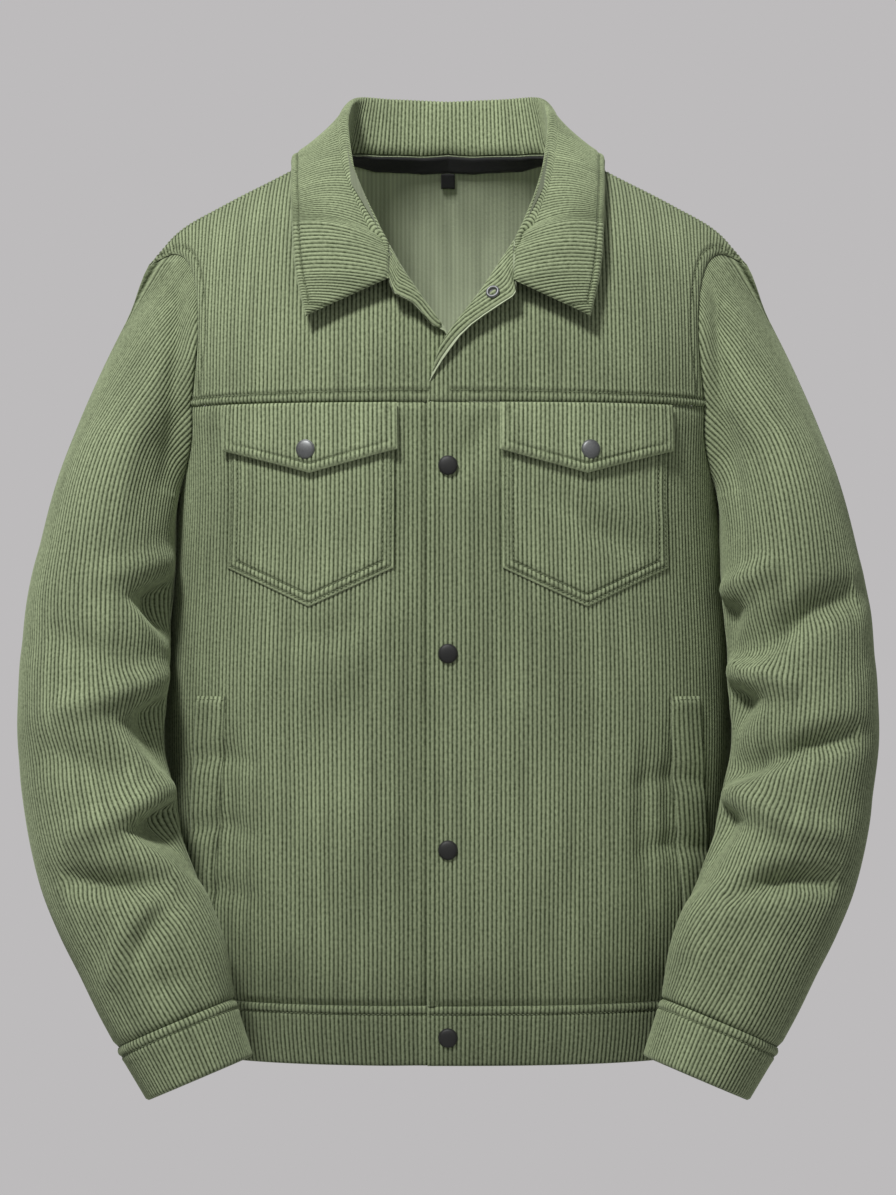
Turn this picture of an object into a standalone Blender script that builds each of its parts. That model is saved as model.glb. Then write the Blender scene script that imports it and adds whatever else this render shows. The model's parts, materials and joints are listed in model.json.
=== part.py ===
# Corduroy trucker-style jacket, filled out as if worn, with no wearer inside.
# Metres, +Z up. The front faces -Y and the wearer's left is +X.
# The origin is the middle of the neck base, level with the shoulder-neck points.
import math

import bpy
import numpy as np

# ---- driving sizes ----
clothThickness = 0.0016
seamGap = 0.0003
armholeGap = 0.0006        # added between the armhole and the sleeve, which meet at a sharp angle
layGap = 0.0003            # between a panel and a piece that lies on it
frontOverlap = 0.0155      # each front runs this far past the centre line
underlapDepth = 0.0028     # the wearer's right front lies this far behind the left
roundness = 2.45           # exponent of the body sections: 2 is an ellipse
hemSeamHeight = -0.629
hemHeight = -0.673
yokeHeight = -0.191        # yoke seam across both fronts
narrowHeight = -0.150      # narrowest level of the back, halfway up the armhole
underarmHeight = -0.255
armholeFront = 0.190       # half-width across the front at the yoke seam
armholeBack = 0.190
neckAlong = 0.0785         # centre line to shoulder-neck point, along the cloth
shoulderAlong = 0.2567     # centre line to shoulder tip, along the cloth
frontTurn = math.radians(65)
backTurn = math.radians(102)
foldRadius = 0.004         # collar fold
rollDepth = 0.004          # space inside the lapel's roll

# Body sections, from the hem up.
body = {
    "height": [
        -0.673, -0.651, -0.629, -0.605, -0.560, -0.500, -0.430,
        -0.365, -0.310, -0.250, -0.191, -0.150, -0.100,
    ],
    "halfWidth": [
        0.194, 0.197, 0.199, 0.206, 0.212, 0.2145, 0.2155,
        0.213, 0.2085, 0.2045, 0.2065, 0.2085, 0.208,
    ],
    "frontDepth": [
        0.119, 0.121, 0.1225, 0.129, 0.133, 0.133, 0.131,
        0.131, 0.133, 0.1345, 0.131, 0.126, 0.118,
    ],
    "backDepth": [
        0.101, 0.103, 0.105, 0.111, 0.113, 0.107, 0.101,
        0.103, 0.112, 0.120, 0.1215, 0.118, 0.110,
    ],
}

# Shoulder seam from the centre line out: distance along the cloth, then its place.
shoulder = {
    "along": [0.0, 0.040, 0.0785, 0.130, 0.183, 0.224, 0.2567],
    "x": [0.0, 0.0395, 0.078, 0.1216, 0.168, 0.203, 0.2253],
    "y": [0.004, 0.000, -0.005, -0.014, -0.020, -0.022, -0.022],
    "z": [0.034, 0.026, 0.012, -0.0135, -0.038, -0.0585, -0.0815],
}

# Half-width to the armhole seam, from the yoke seam or the narrow level (0) to the shoulder (1).
armhole = {
    "rise": [0.0, 0.30, 0.45, 0.60, 0.75, 0.88, 1.0],
    "front": [0.190, 0.1855, 0.1865, 0.190, 0.197, 0.208, 0.2253],
    "back": [0.190, 0.188, 0.1885, 0.191, 0.197, 0.208, 0.2253],
}

# Back neckline, from the centre back to the shoulder-neck point: distance from the centre
# and how far up the shoulder curve it lies.
backNeck = {
    "along": [0.0, 0.020, 0.040, 0.056, 0.066, 0.0725, 0.0765, 0.0785],
    "rise": [0.588, 0.597, 0.624, 0.655, 0.690, 0.790, 0.900, 1.0],
}
neckTurn = 0.066           # past this distance the neckline is the side of the shoulder part

# Front opening above the yoke seam: distance of the edge, roll line or neckline from the centre.
# The lapel rows give where the turned-out edge lies for each height of the roll line.
opening = {
    "left": {
        "height": [-0.191, -0.1758, -0.1518, -0.1374, -0.1095, -0.0719, -0.050, -0.030, -0.008, 0.012],
        "along": [-0.0155, -0.0125, -0.0061, 0.0035, 0.0253, 0.0498, 0.0620, 0.0710, 0.0765, 0.0785],
        "rollTop": -0.0719,
        "lapelHeight": [-0.1758, -0.1518, -0.1374, -0.1095, -0.098, -0.0719],
        "edgeX": [-0.0125, -0.001, 0.011, 0.041, 0.0487, 0.0494],
        "edgeZ": [-0.1758, -0.157, -0.142, -0.120, -0.115, -0.103],
        "edgeLift": [0.0, 0.004, 0.007, 0.012, 0.014, 0.013],
    },
    "right": {
        "height": [
            -0.191, -0.1758, -0.160, -0.141, -0.1169, -0.0920,
            -0.0760, -0.050, -0.030, -0.008, 0.012,
        ],
        "along": [
            -0.0155, -0.0125, -0.0070, 0.0007, 0.0183, 0.0352,
            0.0440, 0.0600, 0.0705, 0.0765, 0.0785,
        ],
        "rollTop": -0.0760,
        "lapelHeight": [-0.141, -0.130, -0.1169, -0.100, -0.090, -0.0760],
        "edgeX": [0.0007, 0.0115, 0.0245, 0.0335, 0.0399, 0.0448],
        "edgeZ": [-0.141, -0.1365, -0.122, -0.1165, -0.1132, -0.1016],
        "edgeLift": [0.0, 0.006, 0.011, 0.013, 0.014, 0.013],
    },
}

# Collar, by station: 0 centre back, 1 shoulder-neck point, 2 top of the roll line,
# 3 end of the gorge, 4 point.
collarFold = {
    "station": [0.0, 0.35, 0.68, 1.0, 1.33, 1.62, 1.85, 2.0],
    "x": [0.0, 0.043, 0.0705, 0.0755, 0.0735, 0.069, 0.061, 0.0495],
    "y": [0.083, 0.079, 0.056, 0.004, -0.030, -0.055, -0.078, -0.102],
    "z": [0.0565, 0.058, 0.0555, 0.036, 0.010, -0.015, -0.042, -0.0700],
}
collarEdge = {
    "station": [0.0, 0.35, 0.68, 1.0, 1.33, 1.62, 2.0, 3.0, 4.0],
    "x": [0.0, 0.052, 0.093, 0.117, 0.1185, 0.1175, 0.1155, 0.1115, 0.1037],
    "y": [0.104, 0.100, 0.071, 0.012, -0.028, -0.060, -0.087, -0.112, -0.127],
    "z": [-0.006, -0.008, -0.004, 0.003, -0.010, -0.031, -0.058, -0.096, -0.1284],
}
collarBow = {              # how far the leaf arches, over the shoulder it hangs straight
    "station": [0.0, 0.35, 0.68, 1.0, 1.33, 1.62, 2.0],
    "bow": [0.006, 0.004, 0.0005, 0.0, 0.002, 0.005, 0.009],
}
collarLift = 0.0016        # the stand's inner face clears the panel it is sewn to by this
foldOverRoll = np.array([0.0004, -0.0062, 0.0020])   # collar fold against the top of the roll line
gorgeStart = np.array([0.0010, -0.0036, 0.0010])     # collar's inner border against the lapel, at the roll
gorgeEnd = np.array([0.0010, -0.0036, 0.0005])       # and at the lapel's edge

# Sleeve sections, shoulder to wrist: outermost and innermost points seen from the front,
# then how far back the middle lies and the half-depth.
sleeve = {
    "outX": [
        0.2253, 0.2422, 0.2622, 0.2813, 0.2957, 0.3043, 0.3120, 0.3152,
        0.3150, 0.3093, 0.3011, 0.2915, 0.2789, 0.2643, 0.2493, 0.2371,
    ],
    "outZ": [
        -0.080, -0.118, -0.163, -0.2136, -0.2633, -0.3007, -0.3426, -0.4066,
        -0.4421, -0.4816, -0.5203, -0.5507, -0.5780, -0.6052, -0.6351, -0.6571,
    ],
    "inX": [
        0.150, 0.160, 0.176, 0.194, 0.2045, 0.2050, 0.2065, 0.209,
        0.2105, 0.202, 0.196, 0.1835, 0.173, 0.1625, 0.157, 0.1548,
    ],
    "inZ": [
        -0.150, -0.176, -0.205, -0.238, -0.272, -0.300, -0.337, -0.398,
        -0.436, -0.470, -0.505, -0.534, -0.557, -0.585, -0.609, -0.6219,
    ],
    "middleY": [
        -0.012, -0.008, -0.008, -0.018, -0.036, -0.048, -0.060, -0.077,
        -0.087, -0.099, -0.111, -0.121, -0.129, -0.135, -0.139, -0.141,
    ],
    "halfDepth": [
        0.055, 0.064, 0.073, 0.080, 0.080, 0.076, 0.071, 0.065,
        0.062, 0.059, 0.056, 0.053, 0.050, 0.047, 0.0455, 0.0445,
    ],
}
cuffEnd = {
    "outX": 0.2145, "outZ": -0.6935, "inX": 0.1414, "inZ": -0.6622, "middleY": -0.147, "halfDepth": 0.040,
}

# Elbow folds: height where each crease ends on the inner side, how far it climbs toward
# the outer side, its depth, and the cloth above and below that falls into it.
folds = {
    "right": {
        "innerHeight": [-0.352, -0.462, -0.534],
        "climb": [0.060, 0.110, 0.100],
        "depth": [0.013, 0.017, 0.012],
        "above": [0.026, 0.034, 0.030],
        "below": [0.012, 0.013, 0.012],
    },
    "left": {
        "innerHeight": [-0.372, -0.470, -0.545],
        "climb": [0.075, 0.110, 0.090],
        "depth": [0.012, 0.018, 0.013],
        "above": [0.030, 0.034, 0.028],
        "below": [0.013, 0.013, 0.012],
    },
}

# Pocket and flap heights. The flap runs past the pocket by a share of a column of the front.
pocket = {"top": -0.1925, "side": -0.311, "point": -0.339}
flap = {"top": -0.1915, "side": -0.2255, "point": -0.2425, "overhang": 0.12, "spread": 0.0022}
welt = {"top": -0.405, "bottom": -0.575, "topX": 0.184, "bottomX": 0.1945, "width": 0.021, "lift": 0.0004}
frontSnapHeights = [-0.237, -0.373, -0.515, -0.652]
flapSnapHeight = -0.2255
snap = {"radius": 0.0071, "rim": 0.0012, "dome": 0.0030}
socket = {"x": 0.0325, "z": -0.1115, "outer": 0.0052, "inner": 0.0028, "height": 0.0012}
tapeWidth = 0.0145
label = {"width": 0.0115, "height": 0.0115, "thickness": 0.0012, "drop": 0.0006}

materials = {
    "corduroy": {"color": (0.160, 0.205, 0.105), "roughness": 0.95, "metallic": 0.0},
    "collarCorduroy": {"color": (0.210, 0.255, 0.150), "roughness": 0.95, "metallic": 0.0},
    "hemCorduroy": {"color": (0.110, 0.140, 0.070), "roughness": 0.95, "metallic": 0.0},
    "tape": {"color": (0.012, 0.012, 0.012), "roughness": 0.85, "metallic": 0.0},
    "blackSnap": {"color": (0.010, 0.010, 0.009), "roughness": 0.45, "metallic": 0.0},
    "steelSnap": {"color": (0.160, 0.165, 0.165), "roughness": 0.35, "metallic": 0.9},
}


# ---- curves and surfaces ----
def smooth(at, keys, values):
    """A smooth curve through the rows of a table, held level past both ends."""
    keys = np.asarray(keys, float)
    values = np.asarray(values, float)
    slopes = np.gradient(values, keys)
    at = np.clip(at, keys[0], keys[-1])
    row = np.clip(np.searchsorted(keys, at, side="right") - 1, 0, len(keys) - 2)
    span = keys[row + 1] - keys[row]
    t = (at - keys[row]) / span
    return (
        (2 * t**3 - 3 * t**2 + 1) * values[row]
        + (t**3 - 2 * t**2 + t) * span * slopes[row]
        + (3 * t**2 - 2 * t**3) * values[row + 1]
        + (t**3 - t**2) * span * slopes[row + 1]
    )


def ease(t):
    t = np.clip(t, 0.0, 1.0)
    return t * t * (3 - 2 * t)


def place(table, at, key):
    """The point of a table of x, y, z at one value of its key column."""
    return np.stack([smooth(at, table[key], table[axis]) for axis in ("x", "y", "z")], axis=-1)


def unit(vectors):
    return vectors / np.maximum(np.linalg.norm(vectors, axis=-1, keepdims=True), 1e-12)


# A quarter section runs from the centre line (0) to the side (1) in equal steps of cloth.
quarterAngles = np.linspace(0, math.pi / 2, 2001)
quarterAcross = np.sin(quarterAngles) ** (2 / roundness)
quarterDeep = np.abs(np.cos(quarterAngles)) ** (2 / roundness)


def quarterSteps(halfWidth, depth):
    return np.hypot(np.diff(quarterAcross * halfWidth), np.diff(quarterDeep * depth))


quarterShare = np.concatenate([[0], np.cumsum(quarterSteps(0.21, 0.125))])
quarterShare /= quarterShare[-1]


def sectionSize(z, side):
    return smooth(z, body["height"], body["halfWidth"]), smooth(z, body["height"], body[side + "Depth"])


def quarterLength(z, side):
    """Cloth from the centre line to the side seam at height z."""
    heights = np.linspace(body["height"][0], body["height"][-1], 60)
    sizes = np.stack(sectionSize(heights, side), axis=-1)
    lengths = [quarterSteps(halfWidth, depth).sum() for halfWidth, depth in sizes]
    return np.interp(z, heights, lengths)


def section(s, z, side):
    """Body below the shoulders: s metres of cloth from the centre line at height z."""
    share = np.abs(s) / quarterLength(z, side)
    halfWidth, depth = sectionSize(z, side)
    x = np.sign(s) * halfWidth * np.interp(share, quarterShare, quarterAcross)
    y = depth * np.interp(share, quarterShare, quarterDeep) * (-1 if side == "front" else 1)
    return np.stack(np.broadcast_arrays(x, y, z), axis=-1)


def rise(s, v, side):
    """Body above the chest: v runs from 0 at the yoke seam or narrow level to 1 at the shoulder seam."""
    start = yokeHeight if side == "front" else narrowHeight
    turn = frontTurn if side == "front" else backTurn
    low = section(s, np.full(np.shape(s), start), side)
    high = place(shoulder, np.abs(s), "along")
    high[..., 0] *= np.where(s < 0, -1, 1)
    up = np.sin(v * turn) / np.sin(turn)
    out = (np.cos(v * turn) - np.cos(turn)) / (1 - np.cos(turn))
    x = low[..., 0] + (high[..., 0] - low[..., 0]) * v**2
    y = high[..., 1] + (low[..., 1] - high[..., 1]) * out
    z = low[..., 2] + (high[..., 2] - low[..., 2]) * up
    return np.stack([x, y, z], axis=-1)


def alongAt(x, v, side):
    """Distance from the centre line at which the column passes x, level v of rise()."""
    tries = np.linspace(0, shoulderAlong, 400)
    found = [np.interp(xs, rise(tries, np.full(400, vs), side)[:, 0], tries) for xs, vs in zip(x, v)]
    return np.array(found)


def riseAt(s, z):
    """Level v of rise() at which the column s reaches height z."""
    top = smooth(np.abs(s), shoulder["along"], shoulder["z"])
    share = (z - yokeHeight) / (top - yokeHeight) * np.sin(frontTurn)
    return np.arcsin(np.clip(share, 0, 1)) / frontTurn


def columnTop(u, corner, cornerHeight):
    """Top of a lower panel's column, where the armhole scoops down to the underarm."""
    q = np.clip((u - corner) / (1 - corner), 0, 1)
    bend = 2.6
    drop = (1 - np.clip(1 - q, 0, 1) ** bend) ** (1 / bend)
    return underarmHeight + (cornerHeight - underarmHeight) * (1 - drop)


# ---- sheets of cloth ----
class Sheet:
    """A piece of cloth as triangles, joined from grids of points that share edges."""

    def __init__(self, name, grids, material="corduroy", flip=False):
        self.name, self.material = name, material
        points = np.concatenate([grid.reshape(-1, 3) for grid in grids])
        faces, start = [], 0
        for grid in grids:
            rows, columns = grid.shape[:2]
            index = start + np.arange(rows * columns).reshape(rows, columns)
            a, b = index[:-1, :-1].reshape(-1), index[:-1, 1:].reshape(-1)
            c, d = index[1:, 1:].reshape(-1), index[1:, :-1].reshape(-1)
            one = np.linalg.norm(points[a] - points[c], axis=1)
            other = np.linalg.norm(points[b] - points[d], axis=1)
            rising = one > other
            last, third = np.where(rising, d, c), np.where(rising, b, a)
            faces += [np.stack([a, b, last], -1), np.stack([third, c, d], -1)]
            start += rows * columns
        _, first, inverse = np.unique(
            np.round(points, 6), axis=0, return_index=True, return_inverse=True
        )
        faces = inverse.reshape(-1)[np.concatenate(faces)]
        whole = (faces != np.roll(faces, 1, axis=1)).all(axis=1)
        self.faces = faces[whole][:, ::-1] if flip else faces[whole]
        self.points = points[first]
        self.normals = self.vertexNormals()
        self.edges = self.openEdges()

    def vertexNormals(self):
        a, b, c = (self.points[self.faces[:, k]] for k in range(3))
        faceNormals = np.cross(b - a, c - a)
        total = np.zeros_like(self.points)
        for k in range(3):
            np.add.at(total, self.faces[:, k], faceNormals)
        return unit(total)

    def openEdges(self):
        """Directed edges that belong to one triangle, with that triangle's third corner."""
        directed = np.concatenate([np.roll(self.faces, -turn, axis=1) for turn in range(3)])
        ends = np.sort(directed[:, :2], axis=1)
        _, inverse, count = np.unique(ends, axis=0, return_inverse=True, return_counts=True)
        return directed[count[inverse.reshape(-1)] == 1]

    def locate(self, points):
        """Index of the sheet's vertex at each of these points."""
        gaps = np.linalg.norm(self.points[None] - np.reshape(points, (-1, 1, 3)), axis=-1)
        return gaps.argmin(axis=1)

    def retreat(self, chosen, distance):
        """Draws the chosen edge vertices back into the sheet."""
        a, b, third = (self.points[self.edges[:, k]] for k in range(3))
        along = unit(b - a)
        inward = unit((third - a) - along * ((third - a) * along).sum(-1, keepdims=True))
        total = np.zeros_like(self.points)
        np.add.at(total, self.edges[:, 0], inward)
        np.add.at(total, self.edges[:, 1], inward)
        self.points[chosen] += unit(total[chosen]) * distance

    def solid(self, thickness=clothThickness):
        """Vertices and triangles of the closed wall."""
        count = len(self.points)
        under = self.points - self.normals * thickness
        a, b = self.edges[:, 0], self.edges[:, 1]
        walls = [np.stack([b, a, a + count], -1), np.stack([b, a + count, b + count], -1)]
        faces = np.concatenate([self.faces, self.faces[:, ::-1] + count] + walls)
        return np.concatenate([self.points, under]), faces


def sewTogether(sheets):
    """Gives pieces that meet one shared slant at the seam, then parts them by the seam gap.

    Where two pieces run side by side from the seam, each keeps its own slant.
    """
    owners = np.concatenate([np.full(len(sheet.points), k) for k, sheet in enumerate(sheets)])
    points = np.concatenate([sheet.points for sheet in sheets])
    normals = np.concatenate([sheet.normals for sheet in sheets])
    _, inverse = np.unique(np.round(points, 5), axis=0, return_inverse=True)
    inverse = inverse.reshape(-1)
    total = np.zeros((inverse.max() + 1, 3))
    np.add.at(total, inverse, normals)
    count = np.bincount(inverse)[inverse]
    joint = unit(total[inverse])
    facing = np.linalg.norm(total[inverse], axis=1) < 0.45 * count
    for k, sheet in enumerate(sheets):
        mine = np.flatnonzero(owners == k)
        seam = np.flatnonzero(count[mine] > 1)
        backToBack = seam[facing[mine][seam]]
        sheet.points[backToBack] -= sheet.normals[backToBack] * seamGap
        slanted = seam[~facing[mine][seam]]
        sheet.normals[slanted] = joint[mine][slanted]
        sheet.retreat(seam, seamGap / 2)


# ---- scene ----
def clearScene():
    for old in list(bpy.data.objects):
        bpy.data.objects.remove(old, do_unlink=True)


def materialOf(name):
    found = bpy.data.materials.get(name)
    if found:
        return found
    made = bpy.data.materials.new(name)
    made.use_nodes = True
    shader = made.node_tree.nodes["Principled BSDF"]
    values = materials[name]
    shader.inputs["Base Color"].default_value = (*values["color"], 1.0)
    shader.inputs["Roughness"].default_value = values["roughness"]
    shader.inputs["Metallic"].default_value = values["metallic"]
    return made


def addObject(name, points, faces, material):
    mesh = bpy.data.meshes.new(name)
    corners = [tuple(int(corner) for corner in face) for face in faces]
    mesh.from_pydata([tuple(point) for point in points], [], corners)
    mesh.materials.append(materialOf(material))
    mesh.shade_smooth()
    mesh.set_sharp_from_angle(angle=math.radians(40))
    made = bpy.data.objects.new(name, mesh)
    bpy.context.scene.collection.objects.link(made)
    return made


def addSheet(sheet, thickness=clothThickness):
    points, faces = sheet.solid(thickness)
    return addObject(sheet.name, points, faces, sheet.material)


def mirrored(points):
    return points * np.array([-1.0, 1.0, 1.0])


# ---- body panels ----
frontColumns = np.array([-frontOverlap, 0.0, 0.020, 0.0405, 0.062, 0.084, 0.1055, 0.127, 0.149, 0.170])
neckColumns = np.array([0.0, 0.022, 0.042, 0.056, neckTurn])
neckRises = np.array([0.790, 0.900, 1.0])
scoopSteps = 5
lowerRows = np.linspace(0, 1, 11)
frontRises = np.array([0.0, 0.09, 0.18, 0.27, 0.36, 0.47, 0.58, 0.70, 0.82, 0.92, 1.0])
backRises = np.array([0.0, 0.12, 0.25, 0.38, 0.51, 0.63, 0.75, 0.87, 1.0])
cornerAlong = float(alongAt([armholeFront], [0.0], "front")[0])
backCornerAlong = float(alongAt([armholeBack], [0.0], "back")[0])
topColumns = np.append(frontColumns, cornerAlong)
columnShares = (topColumns + frontOverlap) / (cornerAlong + frontOverlap)


def underlap(points, s, side):
    """Sets the wearer's right front behind the left where they cross."""
    if side == "right":
        points = points + np.array([0, 1.0, 0]) * underlapDepth * (1 - ease((s - 0.018) / 0.03))[..., None]
    return points


def sided(points, side):
    return points if side == "left" else mirrored(points)


def lowerFront(side):
    full = quarterLength(yokeHeight, "front")
    corner = cornerAlong / full
    scoop = corner + (1 - corner) * np.linspace(0, 1, scoopSteps + 1)[1:]
    tops = np.concatenate([np.full(len(topColumns), yokeHeight), columnTop(scoop, corner, yokeHeight)])
    share = np.concatenate([topColumns / full, scoop])
    z = hemSeamHeight + lowerRows[:, None] * (tops - hemSeamHeight)
    last = frontColumns[-1]
    beyond = np.clip((share * full - last) / (full - last), 0, 1)
    s = np.where(share * full <= last, share * full, last + beyond * (quarterLength(z, "front") - last))
    return underlap(section(s, z, "front"), s, side), s, z


def rollAlong(v, side):
    """Distance of the front edge, roll line or neckline from the centre at level v."""
    table = opening[side]
    s = np.zeros_like(v)
    for _ in range(30):
        high = smooth(np.abs(s), shoulder["along"], shoulder["z"])
        z = yokeHeight + (high - yokeHeight) * np.sin(v * frontTurn) / np.sin(frontTurn)
        s = 0.5 * s + 0.5 * np.interp(z, table["height"], table["along"])
    return np.where(v > 0.999, neckAlong, s)


def upperFront(side):
    """Yoke with its turned-out lapel, columns from the lapel's edge to the armhole."""
    table = opening[side]
    topRow = float(riseAt(np.interp(table["rollTop"], table["height"], table["along"]), table["rollTop"]))
    rises = np.sort(np.append(frontRises[np.abs(frontRises - topRow) > 0.03], topRow))
    left = rollAlong(rises, side)
    right = alongAt(smooth(rises, armhole["rise"], armhole["front"]), rises, "front")
    s = left[:, None] + (right - left)[:, None] * columnShares
    v = np.broadcast_to(rises[:, None], s.shape)
    base = underlap(rise(s, v, "front"), s, side)
    roll = base[:, 0]
    below = rises <= topRow + 1e-9
    height = roll[:, 2]
    edgeX = smooth(height, table["lapelHeight"], table["edgeX"])
    edgeZ = smooth(height, table["lapelHeight"], table["edgeZ"])
    edgeRise = riseAt(edgeX, edgeZ)
    edge = underlap(rise(edgeX, edgeRise, "front"), edgeX, side)
    edge[:, 1] -= smooth(height, table["lapelHeight"], table["edgeLift"])
    turned = ease((height - table["lapelHeight"][0]) / 0.03)
    bend = roll + np.stack([-0.0012 * turned, -0.5 * rollDepth * turned, 0 * turned], -1)
    start = roll + np.stack([0.0003 * turned, -rollDepth * turned, 0 * turned], -1)
    lapel = [start + (edge - start) * share for share in (1.0, 0.72, 0.45, 0.2)]
    lapel = np.stack(lapel + [start, bend], axis=1)
    flat = (turned < 1e-6)[:, None, None]
    lapel = np.where(flat, roll[:, None], lapel)
    lapelRows = np.concatenate([lapel, roll[:, None]], axis=1)[below]
    return base, lapelRows


def backPanel():
    """One piece: up from the hem, over the shoulders and forward to the shoulder seams.

    Returns half grids: below the narrow level, above it under the neckline,
    and above it out to the shoulder. The last value is the width share of each column.
    """
    full = quarterLength(narrowHeight, "back")
    corner = backCornerAlong / full
    turnRise = float(smooth(neckTurn, backNeck["along"], backNeck["rise"]))
    outer = neckTurn + (backCornerAlong - neckTurn) * columnShares
    scoop = corner + (1 - corner) * np.linspace(0, 1, scoopSteps + 1)[1:]
    u = np.concatenate([neckColumns / full, outer[1:] / full, scoop])
    level = np.full(len(u) - scoopSteps, narrowHeight)
    tops = np.concatenate([level, columnTop(scoop, corner, narrowHeight)])
    z = hemSeamHeight + lowerRows[:, None] * (tops - hemSeamHeight)
    lower = section(u * quarterLength(z, "back"), z, "back")
    v = backRises[:, None] * smooth(neckColumns, backNeck["along"], backNeck["rise"])
    middle = rise(np.broadcast_to(neckColumns, v.shape), v, "back")
    rises = np.concatenate([backRises * turnRise, neckRises])
    neckSide = np.interp(neckRises, backNeck["rise"], backNeck["along"])
    left = np.concatenate([np.full(len(backRises), neckTurn), neckSide])
    edge = alongAt(smooth(rises, armhole["rise"], armhole["back"]), rises, "back")
    s = left[:, None] + (edge - left)[:, None] * columnShares
    shoulderPart = rise(s, np.broadcast_to(rises[:, None], s.shape), "back")
    return lower, middle, shoulderPart, u


fronts, yokes, yokeParts, frontGrids = {}, {}, {}, {}
for side in ("left", "right"):
    grid, s, z = lowerFront(side)
    frontGrids[side] = (grid, s, z)
    fronts[side] = Sheet("front_" + side, [sided(grid, side)], flip=side == "right")
    base, lapel = upperFront(side)
    yokeParts[side] = (base, lapel)
    yokes[side] = Sheet("front_yoke_" + side, [sided(base, side), sided(lapel, side)], flip=side == "right")
backLower, backMiddle, backShoulder, backShares = backPanel()
backGrids = [np.concatenate([mirrored(half)[:, :0:-1], half], axis=1) for half in (backLower, backMiddle)]
back = Sheet("back", backGrids + [backShoulder, mirrored(backShoulder)[:, ::-1]], flip=True)


# ---- sleeves and cuffs ----
sleeveOut = np.stack([sleeve["outX"], np.zeros(16), sleeve["outZ"]], -1)
sleeveIn = np.stack([sleeve["inX"], np.zeros(16), sleeve["inZ"]], -1)
sleeveMiddle = (sleeveOut + sleeveIn) / 2 + np.array([0, 1.0, 0]) * np.array(sleeve["middleY"])[:, None]
sleeveReach = (sleeveOut - sleeveIn) / 2
sleeveSteps = np.linalg.norm(np.diff(sleeveMiddle, axis=0), axis=1)
sleeveAlong = np.concatenate([[0], np.cumsum(sleeveSteps)])
sleeveLength = float(sleeveAlong[-1])


def sleeveFrame(w):
    """Middle, sideways vector, forward unit and half-depth of the section at w metres down the sleeve."""
    middle = np.stack([smooth(w, sleeveAlong, sleeveMiddle[:, k]) for k in range(3)], -1)
    reach = np.stack([smooth(w, sleeveAlong, sleeveReach[:, k]) for k in range(3)], -1)
    step = 0.004
    ahead = np.stack([smooth(w + step, sleeveAlong, sleeveMiddle[:, k]) for k in range(3)], -1)
    behind = np.stack([smooth(w - step, sleeveAlong, sleeveMiddle[:, k]) for k in range(3)], -1)
    forward = unit(np.cross(reach, ahead - behind))
    forward *= np.where(forward[..., 1:2] > 0, -1, 1)
    return middle, reach, forward, smooth(w, sleeveAlong, sleeve["halfDepth"])


def sleeveFold(angle, w, side):
    """How far the folds push the cloth in (-) or out (+)."""
    table = folds[side]
    inward = (1 - np.cos(angle)) / 2
    share = 0.16 + 0.84 * ease((inward - 0.50) / 0.42) * ease((np.sin(angle) + 0.15) / 0.45)
    push = 0 * w
    for height, climb, depth, above, below in zip(*table.values()):
        end = np.interp(-height, -np.array(sleeve["inZ"]), sleeveAlong)
        away = w - (end - climb * (1 - inward))
        push = push - depth * share * np.exp(-((away / np.where(away < 0, above, below)) ** 2))
    return push + 0.004 * share * ease((w - 0.20) / 0.06) * (1 - ease((w - 0.50) / 0.08))


def sleeveTube(angle, w, side):
    """The sleeve as a tube: angle 0 is its outer side, pi/2 its front, pi its inner side."""
    middle, reach, forward, depth = sleeveFrame(w)
    push = sleeveFold(angle, w, side)
    radial = unit(unit(reach) * np.cos(angle)[..., None] + forward * np.sin(angle)[..., None])
    ring = middle + reach * np.cos(angle)[..., None] + forward * (depth * np.sin(angle))[..., None]
    return ring + radial * push[..., None]


def armholeLoop(side):
    """Seam points from the shoulder tip down the front, under the arm and up the back."""
    yokeEdge = yokeParts[side][0][::-1, -1]
    frontScoop = frontGrids[side][0][-1, len(topColumns):]
    backScoop = backLower[-1, -scoopSteps - 1:-1][::-1]
    return np.concatenate([yokeEdge, frontScoop, backScoop, backShoulder[1:-1, -1]])


def onSleeve(points):
    """Angle and distance down the sleeve of each armhole point."""
    w = np.linspace(0, 0.30, 301)
    middle, reach, forward, depth = sleeveFrame(w)
    step = unit(np.gradient(middle, axis=0))
    offset = points[:, None] - middle[None]
    height = (offset * step).sum(-1)
    best = np.abs(height).argmin(axis=1)
    offset = offset[np.arange(len(points)), best]
    across = (offset * unit(reach[best])).sum(-1) / np.linalg.norm(reach[best], axis=-1)
    ahead = (offset * forward[best]).sum(-1) / depth[best]
    return np.arctan2(ahead, across), w[best]


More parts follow.
